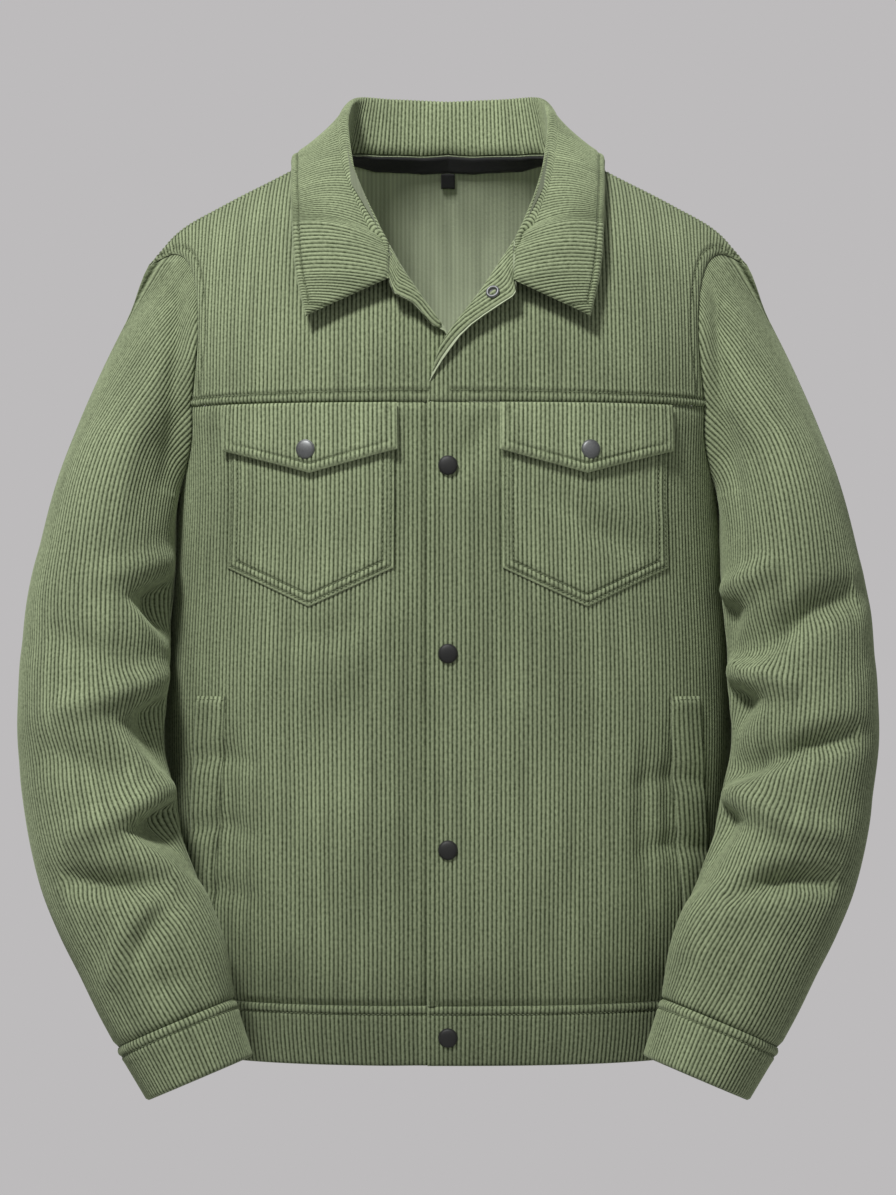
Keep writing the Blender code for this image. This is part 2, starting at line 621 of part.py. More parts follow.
capRows, armRows = 6, 22
capBlend = 0.11
sleeves, cuffs = {}, {}
for side in ("left", "right"):
    loop = armholeLoop(side)
    angle, start = onSleeve(loop)
    angle = np.unwrap(angle)
    full = start.max() + 0.03
    rows = [start + (full - start) * share for share in np.linspace(0, 1, capRows + 1)[:-1]]
    rows += [np.full(len(loop), w) for w in np.linspace(full, sleeveLength, armRows)]
    w = np.array(rows)
    turn = np.broadcast_to(angle, w.shape)
    grid = sleeveTube(turn, w, side)
    correction = loop - grid[0]
    grid = grid + correction * ((1 - np.clip((w - start) / capBlend, 0, 1)) ** 2)[..., None]
    grid = np.concatenate([grid, grid[:, :1]], axis=1)
    sleeves[side] = Sheet("sleeve_" + side, [sided(grid, side)], flip=side == "right")
    top = grid[-1, :-1]
    lat = np.array([cuffEnd["outX"] - cuffEnd["inX"], 0, cuffEnd["outZ"] - cuffEnd["inZ"]]) / 2
    depth = 2 * cuffEnd["middleY"]
    mid = np.array([cuffEnd["outX"] + cuffEnd["inX"], depth, cuffEnd["outZ"] + cuffEnd["inZ"]]) / 2
    ahead = sleeveFrame(np.array(sleeveLength))[2]
    end = mid + np.outer(np.cos(angle), lat) + np.outer(np.sin(angle) * cuffEnd["halfDepth"], ahead)
    cuff = np.stack([top + (end - top) * share for share in (0.0, 0.5, 1.0)])
    cuff = np.concatenate([cuff, cuff[:, :1]], axis=1)
    cuffs[side] = Sheet("cuff_" + side, [sided(cuff, side)], flip=side == "right")


# ---- hem band ----
def hemRow(z):
    """The band at height z, from the wearer's left edge round the back to the right edge beneath it."""
    s = frontGrids["left"][1][0] / quarterLength(hemSeamHeight, "front") * quarterLength(z, "front")
    ahead = section(s, np.full(len(s), z), "front")
    behind = section(backShares * quarterLength(z, "back"), np.full(len(backShares), z), "back")
    under = mirrored(underlap(ahead, s, "right"))
    return np.concatenate([ahead, behind[-2::-1], mirrored(behind[1:]), under[-2::-1]])


hemLevels = (hemHeight, (hemHeight + hemSeamHeight) / 2, hemSeamHeight)
hem = Sheet("hem_band", [np.stack([hemRow(z) for z in hemLevels])])


# ---- collar ----
def collarColumn(neck, station, side, neckNormal):
    """Across the collar from the neck seam, up the stand, over the fold and down the leaf."""
    base, lapel = yokeParts[side]
    rollTop = base[len(lapel) - 1, 0]
    fold = place(collarFold, np.array(station), "station")
    edge = place(collarEdge, np.array(station), "station")
    stand = [0.0, 0.5, 1.0]
    turn = np.radians([45, 90, 135, 180])
    leaf = [0.25, 0.5, 0.75, 1.0]
    ahead = place(collarFold, np.array(min(station + 0.1, 2.0)), "station")
    behind = place(collarFold, np.array(max(min(station, 2.0) - 0.1, 0.0)), "station")
    bow = smooth(station, collarBow["station"], collarBow["bow"])
    arch = unit(np.cross(ahead - behind, edge - fold)) * bow
    if station > 2.0:
        start = innerBorder(station, side)
        fade = (4.0 - station) / 2
        flat = [start + (edge - start) * share + 4 * share * (1 - share) * arch * fade for share in leaf]
        return np.stack([start] * (len(stand) + len(turn)) + flat)
    last = place(collarFold, np.array(2.0), "station")
    fold = fold + (rollTop + foldOverRoll - last) * ease((station - 1.5) / 0.5)
    neck = neck + neckNormal * collarLift
    up = unit(fold - neck)
    out = unit((edge - fold) - up * np.dot(edge - fold, up))
    radius = float(np.clip(0.42 * np.linalg.norm(fold - neck), 0.0019, foldRadius))
    low = fold - up * radius
    points = [neck + (low - neck) * share for share in stand]
    centre = low + out * radius
    points += [centre + radius * (-out * math.cos(a) + up * math.sin(a)) for a in turn]
    start = points[-1]
    points += [start + (edge - start) * share + 4 * share * (1 - share) * arch for share in leaf]
    return np.stack(points)


def innerBorder(station, side):
    """Inner border of the leaf past the roll line: down the gorge seam, then along the front edge."""
    lapel = yokeParts[side][1]
    top = lapel[-1, 4] + gorgeStart
    end = lapel[-1, 0] + gorgeEnd
    point = place(collarEdge, np.array(4.0), "station")
    if station <= 3:
        return top + (end - top) * (station - 2)
    return end + (point - end) * (station - 3)


def stepsAlong(points):
    return np.concatenate([[0], np.cumsum(np.linalg.norm(np.diff(points, axis=0), axis=1))])


def collarSide(side):
    base, lapel = yokeParts[side]
    behind = np.concatenate([backMiddle[-1], backShoulder[len(backRises):, 0]])
    ahead = base[len(lapel) - 1:, 0][::-1]
    early = stepsAlong(behind) / stepsAlong(behind)[-1]
    late = 1 + stepsAlong(ahead)[1:] / stepsAlong(ahead)[-1]
    stations = np.concatenate([early, late, [2.5, 3.0, 3.5, 4.0]])
    points = np.concatenate([behind, ahead[1:]])
    backNormals = back.normals[back.locate(behind[:-1])]
    yokeNormals = sided(yokes[side].normals[yokes[side].locate(sided(ahead, side))], side)
    normals = np.concatenate([backNormals, yokeNormals])
    columns = []
    for k, station in enumerate(stations):
        known = min(k, len(points) - 1)
        columns.append(collarColumn(points[known], station, side, normals[known]))
    return sided(np.stack(columns, axis=1), side)


collarHalves = {side: collarSide(side) for side in ("left", "right")}
collarGrid = np.concatenate([collarHalves["right"][:, :0:-1], collarHalves["left"]], axis=1)
collar = Sheet("collar", [collarGrid], "collarCorduroy")

# ---- seams, then the solids of the main pieces ----
mainPieces = [fronts["left"], fronts["right"], yokes["left"], yokes["right"], back, hem]
mainPieces += [sleeves["left"], sleeves["right"], cuffs["left"], cuffs["right"]]


def onFace(sheet, x, z):
    """Where a line along Y at x, z meets the front of a sheet, and the direction out of the sheet there."""
    ahead = sheet.faces[sheet.normals[sheet.faces].mean(axis=1)[:, 1] < 0]
    corners = sheet.points[ahead]
    flat = corners[:, :, [0, 2]]
    first = flat[:, 0]
    one, two = flat[:, 1] - first, flat[:, 2] - first
    twist = one[:, 0] * two[:, 1] - one[:, 1] * two[:, 0]
    twist = np.where(np.abs(twist) < 1e-12, 1e-12, twist)
    x, z = np.broadcast_arrays(np.asarray(x, float), np.asarray(z, float))
    points, normals = np.empty(x.shape + (3,)), np.empty(x.shape + (3,))
    for spot in np.ndindex(x.shape):
        away = np.array([x[spot], z[spot]]) - first
        b = (away[:, 0] * two[:, 1] - away[:, 1] * two[:, 0]) / twist
        c = (one[:, 0] * away[:, 1] - one[:, 1] * away[:, 0]) / twist
        weights = np.stack([1 - b - c, b, c], -1)
        best = int(weights.min(axis=1).argmax())
        points[spot] = weights[best] @ corners[best]
        normals[spot] = weights[best] @ sheet.normals[ahead[best]]
    return points, unit(normals)


def onFront(side, column, z):
    """Points on the front's facets at a grid column and a height, and the direction out of the cloth."""
    grid, s, heights = frontGrids[side]
    normals = frontNormals[side]
    column, z = np.broadcast_arrays(np.asarray(column, float), np.asarray(z, float))
    points, outward = np.empty(z.shape + (3,)), np.empty(z.shape + (3,))
    for spot in np.ndindex(z.shape):
        left = int(min(math.floor(column[spot]), grid.shape[1] - 2))
        across = column[spot] - left
        tall = heights[:, left] * (1 - across) + heights[:, left + 1] * across
        level = np.interp(z[spot], tall, np.arange(len(tall)))
        row = int(min(math.floor(level), len(tall) - 2))
        share = level - row
        for target, source in ((points, grid), (outward, normals)):
            low = source[row, left] * (1 - across) + source[row, left + 1] * across
            high = source[row + 1, left] * (1 - across) + source[row + 1, left + 1] * across
            target[spot] = low * (1 - share) + high * share
    return points, unit(outward)


def layOn(name, side, column, z, lift):
    """A piece that lies on a front: the front's points moved out by lift, plus its own thickness."""
    points, outward = onFront(side, column, z)
    grid = points + outward * (np.zeros(z.shape) + lift + clothThickness)[..., None]
    return Sheet(name, [sided(grid, side)], flip=side == "right")


def shieldGrid(sizes, side, columns, heights):
    """Columns and heights of a pocket or flap: straight sides, and a lower edge that comes to a point."""
    x = onFront(side, columns, np.full(len(columns), sizes["side"]))[0][:, 0]
    middle, half = (x[0] + x[-1]) / 2, (x[-1] - x[0]) / 2
    low = sizes["point"] + (sizes["side"] - sizes["point"]) * np.abs(x - middle) / half
    rows = [low] + [low + (heights[0] - low) * 0.5] + [np.full(len(x), z) for z in heights]
    z = np.stack(rows)
    return np.broadcast_to(columns, z.shape), z


def addSnap(name, point, normal, material):
    """A domed snap cap standing on the cloth."""
    sides, rings = 20, 4
    across = unit(np.cross(normal, [0, 0, 1.0]))
    up = np.cross(across, normal)
    base = point + normal * layGap
    profile = [(snap["radius"], 0.0), (snap["radius"], snap["rim"])]
    climb = snap["dome"] - snap["rim"]
    for k in range(1, rings):
        a = math.radians(90 * k / rings)
        profile.append((snap["radius"] * math.cos(a), snap["rim"] + climb * math.sin(a)))
    turns = np.linspace(0, 2 * math.pi, sides, endpoint=False)
    circle = np.cos(turns)[:, None] * across + np.sin(turns)[:, None] * up
    points = [base + circle * radius + normal * height for radius, height in profile]
    points = list(np.concatenate(points)) + [base + normal * snap["dome"]]
    top = len(points) - 1
    faces = [list(range(sides))]
    for ring in range(len(profile) - 1):
        for k in range(sides):
            low, high = ring * sides + k, ring * sides + (k + 1) % sides
            faces.append([low, low + sides, high + sides, high])
    last = (len(profile) - 1) * sides
    faces += [[last + k, top, last + (k + 1) % sides] for k in range(sides)]
    return addObject(name, points, faces, material)


def addRing(name, point, normal, sizes, material):
    """A flat ring with a square section, for the lapel's snap socket."""
    sides = 20
    across = unit(np.cross(normal, [0, 0, 1.0]))
    up = np.cross(across, normal)
    base = point + normal * layGap
    turns = np.linspace(0, 2 * math.pi, sides, endpoint=False)
    circle = np.cos(turns)[:, None] * across + np.sin(turns)[:, None] * up
    inner, outer, height = sizes["inner"], sizes["outer"], sizes["height"]
    profile = [(inner, 0.0), (outer, 0.0), (outer, height), (inner, height)]
    points = np.concatenate([base + circle * radius + normal * lift for radius, lift in profile])
    faces = []
    for ring in range(4):
        for k in range(sides):
            ahead = (k + 1) % sides
            low, high = ring * sides, (ring + 1) % 4 * sides
            faces.append([low + k, high + k, high + ahead, low + ahead])
    return addObject(name, points, faces, material)


# ---- pieces that lie on the panels ----
frontNormals = {}
for side in ("left", "right"):
    grid = frontGrids[side][0]
    at = fronts[side].locate(sided(grid, side))
    frontNormals[side] = sided(fronts[side].normals[at], side).reshape(grid.shape)
frontRowHeights = hemSeamHeight + lowerRows * (yokeHeight - hemSeamHeight)
trims, flaps = [], {}
for side in ("left", "right"):
    columns = np.arange(3.0, 10.0)
    between = (frontRowHeights > pocket["side"] + 0.01) & (frontRowHeights < pocket["top"] - 0.01)
    column, z = shieldGrid(pocket, side, columns, list(frontRowHeights[between]) + [pocket["top"]])
    trims.append(layOn("pocket_" + side, side, column, z, layGap))
    flapColumns = np.concatenate([[3 - flap["overhang"]], columns, [9 + flap["overhang"]]])
    column, z = shieldGrid(flap, side, flapColumns, [flap["top"]])
    spread = flap["spread"] * np.array([1.0, 0.5, 0.0])[:, None]
    flaps[side] = layOn("flap_" + side, side, column, z, clothThickness + 2 * layGap + spread)
    down = np.linspace(1, 0, 9)[:, None]
    z = welt["top"] + (welt["bottom"] - welt["top"]) * down
    edge = welt["topX"] + (welt["bottomX"] - welt["topX"]) * down
    x = edge - welt["width"] * np.linspace(1, 0, 4)[None]
    grid, _, heights = frontGrids[side]
    order = np.arange(grid.shape[1])
    column = []
    for across, level in zip(x, z[:, 0]):
        line = [np.interp(level, heights[:, c], grid[:, c, 0]) for c in order]
        column.append(np.interp(across, line, order))
    trims.append(layOn("welt_" + side, side, np.array(column), z + 0 * x, layGap + welt["lift"]))
trims += list(flaps.values())

facings = {}
for side in ("left", "right"):
    lapel = yokeParts[side][1]
    turned = lapel[:, -1, 2] > opening[side]["lapelHeight"][0] + 0.012
    lapel = lapel[turned][:, :6]
    at = yokes[side].locate(sided(lapel, side))
    normals = sided(yokes[side].normals[at], side).reshape(lapel.shape)
    grid = lapel - normals * (2 * clothThickness + layGap)
    facings[side] = Sheet("facing_" + side, [sided(grid, side)], "collarCorduroy", flip=side == "left")


def inside(path, distance, depth):
    """Point under the face of the back, this far along a line of its points and this deep."""
    along = stepsAlong(path)
    normals = back.normals[back.locate(path)]
    point = [np.interp(distance, along, path[:, k]) for k in range(3)]
    normal = [np.interp(distance, along, normals[:, k]) for k in range(3)]
    return np.array(point) - unit(np.array(normal)) * depth


neckPaths = [backMiddle[::-1, k] for k in range(len(neckColumns))]
neckPaths += [backShoulder[k] for k in range(len(backRises), len(backShoulder))]
underDepth = clothThickness + layGap
tapeRows = []
for distance in (layGap, tapeWidth / 2, tapeWidth):
    line = np.array([inside(path, distance, underDepth) for path in neckPaths])
    tapeRows.append(np.concatenate([mirrored(line)[:0:-1], line]))
tape = Sheet("neck_tape", [np.array(tapeRows)], "tape")
labelRows = []
for distance in (tapeWidth + label["drop"], tapeWidth + label["drop"] + label["height"]):
    point = inside(neckPaths[0], distance, underDepth + label["drop"])
    labelRows.append([point + np.array([x, 0, 0]) for x in (-label["width"] / 2, label["width"] / 2)])
labelSheet = Sheet("label_loop", [np.array(labelRows)], "tape")

# ---- build ----
clearScene()
for number, z in enumerate(frontSnapHeights, 1):
    sheet = hem if z < hemSeamHeight else fronts["left"]
    point, normal = onFace(sheet, 0.0, z)
    addSnap("snap_front_%d" % number, point, normal, "blackSnap")
for side in ("left", "right"):
    middle = flaps[side].points[:, 0].max() / 2 + flaps[side].points[:, 0].min() / 2
    point, normal = onFace(flaps[side], middle, flapSnapHeight)
    addSnap("snap_flap_" + side, point, normal, "steelSnap")
point, normal = onFace(facings["left"], socket["x"], socket["z"])
addRing("snap_socket", point, normal, socket, "steelSnap")
sewTogether(mainPieces)
for side in ("left", "right"):
    seam = sleeves[side].locate(sided(armholeLoop(side), side))
    sleeves[side].retreat(seam, armholeGap)
for sheet in mainPieces + [collar] + trims + list(facings.values()):
    addSheet(sheet)
addSheet(tape)
addSheet(labelSheet, label["thickness"])
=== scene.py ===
# The finish of a green corduroy jacket that is filled out as if worn.
# Metres, +Z up, front towards -Y, wearer's left at +X, origin at the middle of the neck base.
import json
import math

import bpy
import numpy as np
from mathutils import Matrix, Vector

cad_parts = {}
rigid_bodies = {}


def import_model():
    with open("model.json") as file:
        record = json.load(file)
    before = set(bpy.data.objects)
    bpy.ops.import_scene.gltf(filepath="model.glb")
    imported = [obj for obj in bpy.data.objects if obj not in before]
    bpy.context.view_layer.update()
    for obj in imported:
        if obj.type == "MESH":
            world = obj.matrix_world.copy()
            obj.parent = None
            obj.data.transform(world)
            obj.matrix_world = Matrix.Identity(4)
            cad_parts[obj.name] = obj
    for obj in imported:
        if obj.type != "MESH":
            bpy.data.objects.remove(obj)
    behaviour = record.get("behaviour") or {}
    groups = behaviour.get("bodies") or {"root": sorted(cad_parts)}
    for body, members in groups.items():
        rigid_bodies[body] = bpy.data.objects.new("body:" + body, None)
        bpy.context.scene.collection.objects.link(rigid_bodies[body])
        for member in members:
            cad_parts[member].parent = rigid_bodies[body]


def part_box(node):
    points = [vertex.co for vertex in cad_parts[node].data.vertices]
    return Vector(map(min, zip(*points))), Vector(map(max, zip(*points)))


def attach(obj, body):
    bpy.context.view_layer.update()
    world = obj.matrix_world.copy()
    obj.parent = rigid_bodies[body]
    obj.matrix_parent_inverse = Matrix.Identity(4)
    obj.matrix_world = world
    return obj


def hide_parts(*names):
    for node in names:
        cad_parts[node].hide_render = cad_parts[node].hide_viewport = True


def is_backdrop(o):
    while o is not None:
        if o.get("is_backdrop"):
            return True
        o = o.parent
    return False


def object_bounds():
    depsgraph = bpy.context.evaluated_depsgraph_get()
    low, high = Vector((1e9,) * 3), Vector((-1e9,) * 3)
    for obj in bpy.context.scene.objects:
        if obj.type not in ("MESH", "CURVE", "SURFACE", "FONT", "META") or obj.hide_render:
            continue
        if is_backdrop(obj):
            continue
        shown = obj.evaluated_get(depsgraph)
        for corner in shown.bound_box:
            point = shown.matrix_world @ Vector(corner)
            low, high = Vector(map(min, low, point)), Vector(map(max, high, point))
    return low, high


for leftover in list(bpy.data.objects):
    bpy.data.objects.remove(leftover, do_unlink=True)
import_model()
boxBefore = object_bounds()

# The cloth: pitch of the wales, grid columns to a wale, pile height, wall, row spacing, air between layers.
cloth = {"wale": 0.00325, "columns": 4, "relief": 0.00085, "wall": 0.0016, "rowStep": 0.0062, "gap": 0.0003}
columnStep = cloth["wale"] / cloth["columns"]
# Extra rows: beside a cut edge, beside a line of stitching, where the armhole's scoop runs level; least step.
closeRows = {
    "rim": np.array([0.0006, 0.0013, 0.0022, 0.0034]),
    "stitch": np.array([-0.0020, -0.0012, -0.0005, 0.0, 0.0005, 0.0012, 0.0020]),
    "scoop": np.array([0.0004, 0.0012, 0.0025, 0.0045, 0.0075, 0.012, 0.0175]),
    "least": 0.0004,
}


# A smooth curve through the rows of a table (cubic Hermite, slopes by differences), level past its ends.
def smooth(at, keys, values):
    keys = np.asarray(keys, float)
    values = np.asarray(values, float)
    slopes = np.gradient(values, keys)
    at = np.clip(at, keys[0], keys[-1])
    row = np.clip(np.searchsorted(keys, at, side="right") - 1, 0, len(keys) - 2)
    span = keys[row + 1] - keys[row]
    t = (at - keys[row]) / span
    return (
        (2 * t**3 - 3 * t**2 + 1) * values[row]
        + (t**3 - 2 * t**2 + t) * span * slopes[row]
        + (3 * t**2 - 2 * t**3) * values[row + 1]
        + (t**3 - t**2) * span * slopes[row + 1]
    )


# 0 below 0, 1 above 1, and 3t^2 - 2t^3 between.
def ease(t):
    t = np.clip(t, 0.0, 1.0)
    return t * t * (3 - 2 * t)


# 1 at the line, falling to both sides as exp(-(distance / width)^2).
def bell(distance, width):
    return np.exp(-((distance / width) ** 2))


# Each vector divided by its length.
def unit(vectors):
    return vectors / np.maximum(np.linalg.norm(vectors, axis=-1, keepdims=True), 1e-12)


def place(table, at, key):
    return np.stack([smooth(at, table[key], table[axis]) for axis in ("x", "y", "z")], axis=-1)


# Points of a line at the given keys: each coordinate read from its column, straight between rows or smooth.
def pointsAt(at, keys, points, read=np.interp):
    return np.stack([read(at, keys, points[:, k]) for k in range(3)], -1)


# Everything is worked out for the wearer's left and mirrored in x for the right.
def sided(points, side):
    return points if side == "left" else points * np.array([-1.0, 1.0, 1.0])


# Even positions from start to end, no further apart than step.
def evenSteps(start, end, step=cloth["rowStep"]):
    return np.linspace(start, end, max(2, int(math.ceil(abs(end - start) / step)) + 1))


# Positions from start to end, close together at both ends and at each line of stitching.
def sewnSteps(start, end, stitches=(), step=cloth["rowStep"]):
    marks = [evenSteps(start, end, step), start + closeRows["rim"], end - closeRows["rim"]]
    marks += [line + closeRows["stitch"] for line in stitches]
    marks = np.sort(np.clip(np.concatenate(marks), start, end))
    kept = [marks[0]]
    for mark in marks[1:]:
        if mark - kept[-1] > closeRows["least"]:
            kept.append(mark)
    kept[-1] = end
    return np.array(kept)


# Distance walked along a line of points, by the sum of its steps.
def stepsAlong(points):
    return np.concatenate([[0], np.cumsum(np.linalg.norm(np.diff(points, axis=0), axis=1))])


# Grid columns at a fixed spacing of the cloth that cover low to high, a whole number of wales.
def waleColumns(low, high):
    first = math.floor(low / cloth["wale"])
    wales = math.ceil(high / cloth["wale"]) - first
    return (np.arange(wales * cloth["columns"] + 1) + first * cloth["columns"]) * columnStep


# Body form.
body = {
    "sections": [  # height, half width, depth in front and depth behind, from the hem up
        (-0.673, 0.1940, 0.1190, 0.1010),
        (-0.651, 0.1970, 0.1210, 0.1030),
        (-0.629, 0.1990, 0.1225, 0.1050),
        (-0.605, 0.2060, 0.1290, 0.1110),
        (-0.560, 0.2120, 0.1330, 0.1130),
        (-0.500, 0.2145, 0.1330, 0.1070),
        (-0.430, 0.2155, 0.1310, 0.1010),
        (-0.365, 0.2130, 0.1310, 0.1030),
        (-0.310, 0.2085, 0.1330, 0.1120),
        (-0.250, 0.2045, 0.1345, 0.1200),
        (-0.191, 0.2065, 0.1310, 0.1215),
        (-0.150, 0.2085, 0.1260, 0.1180),
        (-0.100, 0.2080, 0.1180, 0.1100),
    ],
    "roundness": 2.45,
    "usualSize": (0.21, 0.125),  # the half width and depth whose steps of cloth every section shares
    "frontOverlap": 0.0155,
    "underlap": 0.0028,
    "underlapFade": (0.018, 0.03),  # where the step behind the left front starts to fade, and over how much
    "hem": -0.673,
    "hemSeam": -0.629,
    "yoke": -0.191,
    "narrow": -0.150,
    "underarm": -0.255,
    "armhole": 0.190,
    "scoopFrom": 0.170,  # inside this the scoop leaves the front's columns straight
    "scoopRound": 2.6,
    "neckAlong": 0.0785,
    "shoulderAlong": 0.2567,
    "frontTurn": math.radians(65),
    "backTurn": math.radians(102),
}
shoulder = {
    "along": [0.0, 0.040, 0.0785, 0.130, 0.183, 0.224, 0.2567],
    "x": [0.0, 0.0395, 0.078, 0.1216, 0.168, 0.203, 0.2253],
    "y": [0.004, 0.000, -0.005, -0.014, -0.020, -0.022, -0.022],
    "z": [0.034, 0.026, 0.012, -0.0135, -0.038, -0.0585, -0.0815],
}
armhole = {
    "rise": [0.0, 0.30, 0.45, 0.60, 0.75, 0.88, 1.0],
    "front": [0.190, 0.1855, 0.1865, 0.190, 0.197, 0.208, 0.2253],
    "back": [0.190, 0.188, 0.1885, 0.191, 0.197, 0.208, 0.2253],
}
backNeck = {
    "along": [0.0, 0.020, 0.040, 0.056, 0.066, 0.0725, 0.0765, 0.0785],
    "rise": [0.588, 0.597, 0.624, 0.655, 0.688, 0.703, 0.740, 1.0],
}
opening = {
    "left": {
        "height": [-0.191, -0.1758, -0.1518, -0.1374, -0.1095, -0.0719, -0.050, -0.030, -0.008, 0.012],
        "along": [-0.0155, -0.0125, -0.0061, 0.0035, 0.0253, 0.0498, 0.0620, 0.0710, 0.0765, 0.0785],
        "rollTop": -0.0719,
        "lapelHeight": [-0.1758, -0.1518, -0.1374, -0.1095, -0.098, -0.0719],
        "edgeX": [-0.0125, -0.001, 0.011, 0.041, 0.0487, 0.0494],
        "edgeZ": [-0.1758, -0.157, -0.142, -0.120, -0.115, -0.103],
        "edgeLift": [0.0, 0.004, 0.007, 0.012, 0.014, 0.013],
    },
    "right": {
        "height": [-0.191, -0.1758, -0.160, -0.141, -0.1169, -0.092, -0.076, -0.050, -0.030, -0.008, 0.012],
        "along": [-0.0155, -0.0125, -0.007, 0.0007, 0.0183, 0.0352, 0.044, 0.06, 0.0705, 0.0765, 0.0785],
        "rollTop": -0.0760,
        "lapelHeight": [-0.141, -0.130, -0.1169, -0.100, -0.090, -0.0760],
        "edgeX": [0.0007, 0.0115, 0.0245, 0.0335, 0.0399, 0.0448],
        "edgeZ": [-0.141, -0.1365, -0.122, -0.1165, -0.1132, -0.1016],
        "edgeLift": [0.0, 0.006, 0.011, 0.013, 0.014, 0.013],
    },
    "rollDepth": 0.004,
}

# A quarter of a body section, centre line to side, is a superellipse in equal steps of cloth.
quarterAngles = np.linspace(0, math.pi / 2, 2001)
quarterAcross = np.sin(quarterAngles) ** (2 / body["roundness"])
quarterDeep = np.abs(np.cos(quarterAngles)) ** (2 / body["roundness"])


def quarterSteps(halfWidth, depth):
    return np.hypot(np.diff(quarterAcross * halfWidth), np.diff(quarterDeep * depth))


quarterShare = np.concatenate([[0], np.cumsum(quarterSteps(*body["usualSize"]))])
quarterShare /= quarterShare[-1]
bodyHeights, bodyHalfWidths, frontDepths, backDepths = np.array(body["sections"]).T


# Half width and depth of a section at height z.
def sectionSize(z, side):
    depths = frontDepths if side == "front" else backDepths
    return smooth(z, bodyHeights, bodyHalfWidths), smooth(z, bodyHeights, depths)


sizeHeights = np.linspace(bodyHeights[0], bodyHeights[-1], 60)
quarterLengths = {
    side: [quarterSteps(*size).sum() for size in np.stack(sectionSize(sizeHeights, side), axis=-1)]
    for side in ("front", "back")
}


# Cloth from the centre line to the side at height z.
def quarterLength(z, side):
    return np.interp(z, sizeHeights, quarterLengths[side])


# Below the shoulders: s metres of cloth from the centre line, at height z.
def section(s, z, side):
    share = np.abs(s) / quarterLength(z, side)
    halfWidth, depth = sectionSize(z, side)
    x = np.sign(s) * halfWidth * np.interp(share, quarterShare, quarterAcross)
    y = depth * np.interp(share, quarterShare, quarterDeep) * (-1 if side == "front" else 1)
    return np.stack(np.broadcast_arrays(x, y, z), axis=-1)


# Above the chest: the section at the start, carried up and over an arc (v from 0 to 1) to the shoulder line.
def rise(s, v, side):
    start = body["yoke"] if side == "front" else body["narrow"]
    turn = body[side + "Turn"]
    s, v = np.broadcast_arrays(s, v)
    low = section(s, np.full(s.shape, start), side)
    high = place(shoulder, np.abs(s), "along")
    high[..., 0] *= np.where(s < 0, -1, 1)
    up = np.sin(v * turn) / np.sin(turn)
    out = (np.cos(v * turn) - np.cos(turn)) / (1 - np.cos(turn))
    x = low[..., 0] + (high[..., 0] - low[..., 0]) * v**2
    y = high[..., 1] + (low[..., 1] - high[..., 1]) * out
    z = low[..., 2] + (high[..., 2] - low[..., 2]) * up
    return np.stack([x, y, z], axis=-1)


# Cloth distance at which level v of rise() passes x.
def alongAt(x, v, side):
    tries = np.linspace(0, body["shoulderAlong"], 400)
    return np.array([np.interp(xs, rise(tries, vs, side)[:, 0], tries) for xs, vs in zip(x, v)])


# Level v at which the front's column s reaches height z.
def riseAt(s, z):
    top = smooth(np.abs(s), shoulder["along"], shoulder["z"])
    share = (z - body["yoke"]) / (top - body["yoke"]) * np.sin(body["frontTurn"])
    return np.arcsin(np.clip(share, 0, 1)) / body["frontTurn"]


# The armhole's scoop under the arm, a quarter of a superellipse: the side limit of a lower panel at height z.
def scoopLimit(z, side):
    level = body["yoke"] if side == "front" else body["narrow"]
    full = quarterLength(level, side)
    corner = float(alongAt([body["armhole"]], [0.0], side)[0]) / full
    q = 1 - (1 - np.linspace(0, 1, 900)) ** 2
    u = corner + (1 - corner) * q
    drop = (1 - np.clip(1 - q, 0, 1) ** body["scoopRound"]) ** (1 / body["scoopRound"])
    tops = body["underarm"] + (level - body["underarm"]) * (1 - drop)
    if side == "front":
        last = body["scoopFrom"]
        limit = last + (u * full - last) / (full - last) * (quarterLength(tops, side) - last)
    else:
        limit = u * quarterLength(tops, side)
    scooped = np.interp(z, tops[::-1], limit[::-1])
    return np.where(z <= body["underarm"], quarterLength(z, side), scooped)


# Row heights of a lower panel, closer together where the scoop runs level, and even again clear above it.
def panelRows(level, clear, step=cloth["rowStep"]):
    low = evenSteps(body["hemSeam"], body["underarm"], step)
    high = evenSteps(body["underarm"] + clear, level, step)
    return np.concatenate([low, body["underarm"] + closeRows["scoop"], high])


# The wearer's right front lies this far behind the left where they cross.
def underlap(points, s, side):
    if side == "right":
        begin, fade = body["underlapFade"]
        back = body["underlap"] * (1 - ease((s - begin) / fade))
        points = points + np.array([0, 1.0, 0]) * back[..., None]
    return points


# Pile ridges across the wales: (1/2 - 1/2 cos)^0.6 of the wale's phase.
def ridge(across):
    return (0.5 - 0.5 * np.cos(2 * math.pi * across / cloth["wale"])) ** 0.6


# Shortest way from each grid point to a set of lines, each a row of points.
def distanceTo(points, lines):
    starts = np.concatenate([line[:-1] for line in lines])
    spans = np.concatenate([np.diff(line, axis=0) for line in lines])
    squares = np.maximum((spans**2).sum(-1), 1e-14)
    found = np.empty(points.shape[:-1])
    for row in range(len(points)):
        offset = points[row][:, None] - starts[None]
        share = np.clip((offset * spans).sum(-1) / squares, 0, 1)
        offset -= share[..., None] * spans
        found[row] = np.sqrt((offset**2).sum(-1).min(axis=1))
    return found


def thinned(line, most=90):
    pick = np.unique(np.linspace(0, len(line) - 1, most).round().astype(int))
    return line[pick]


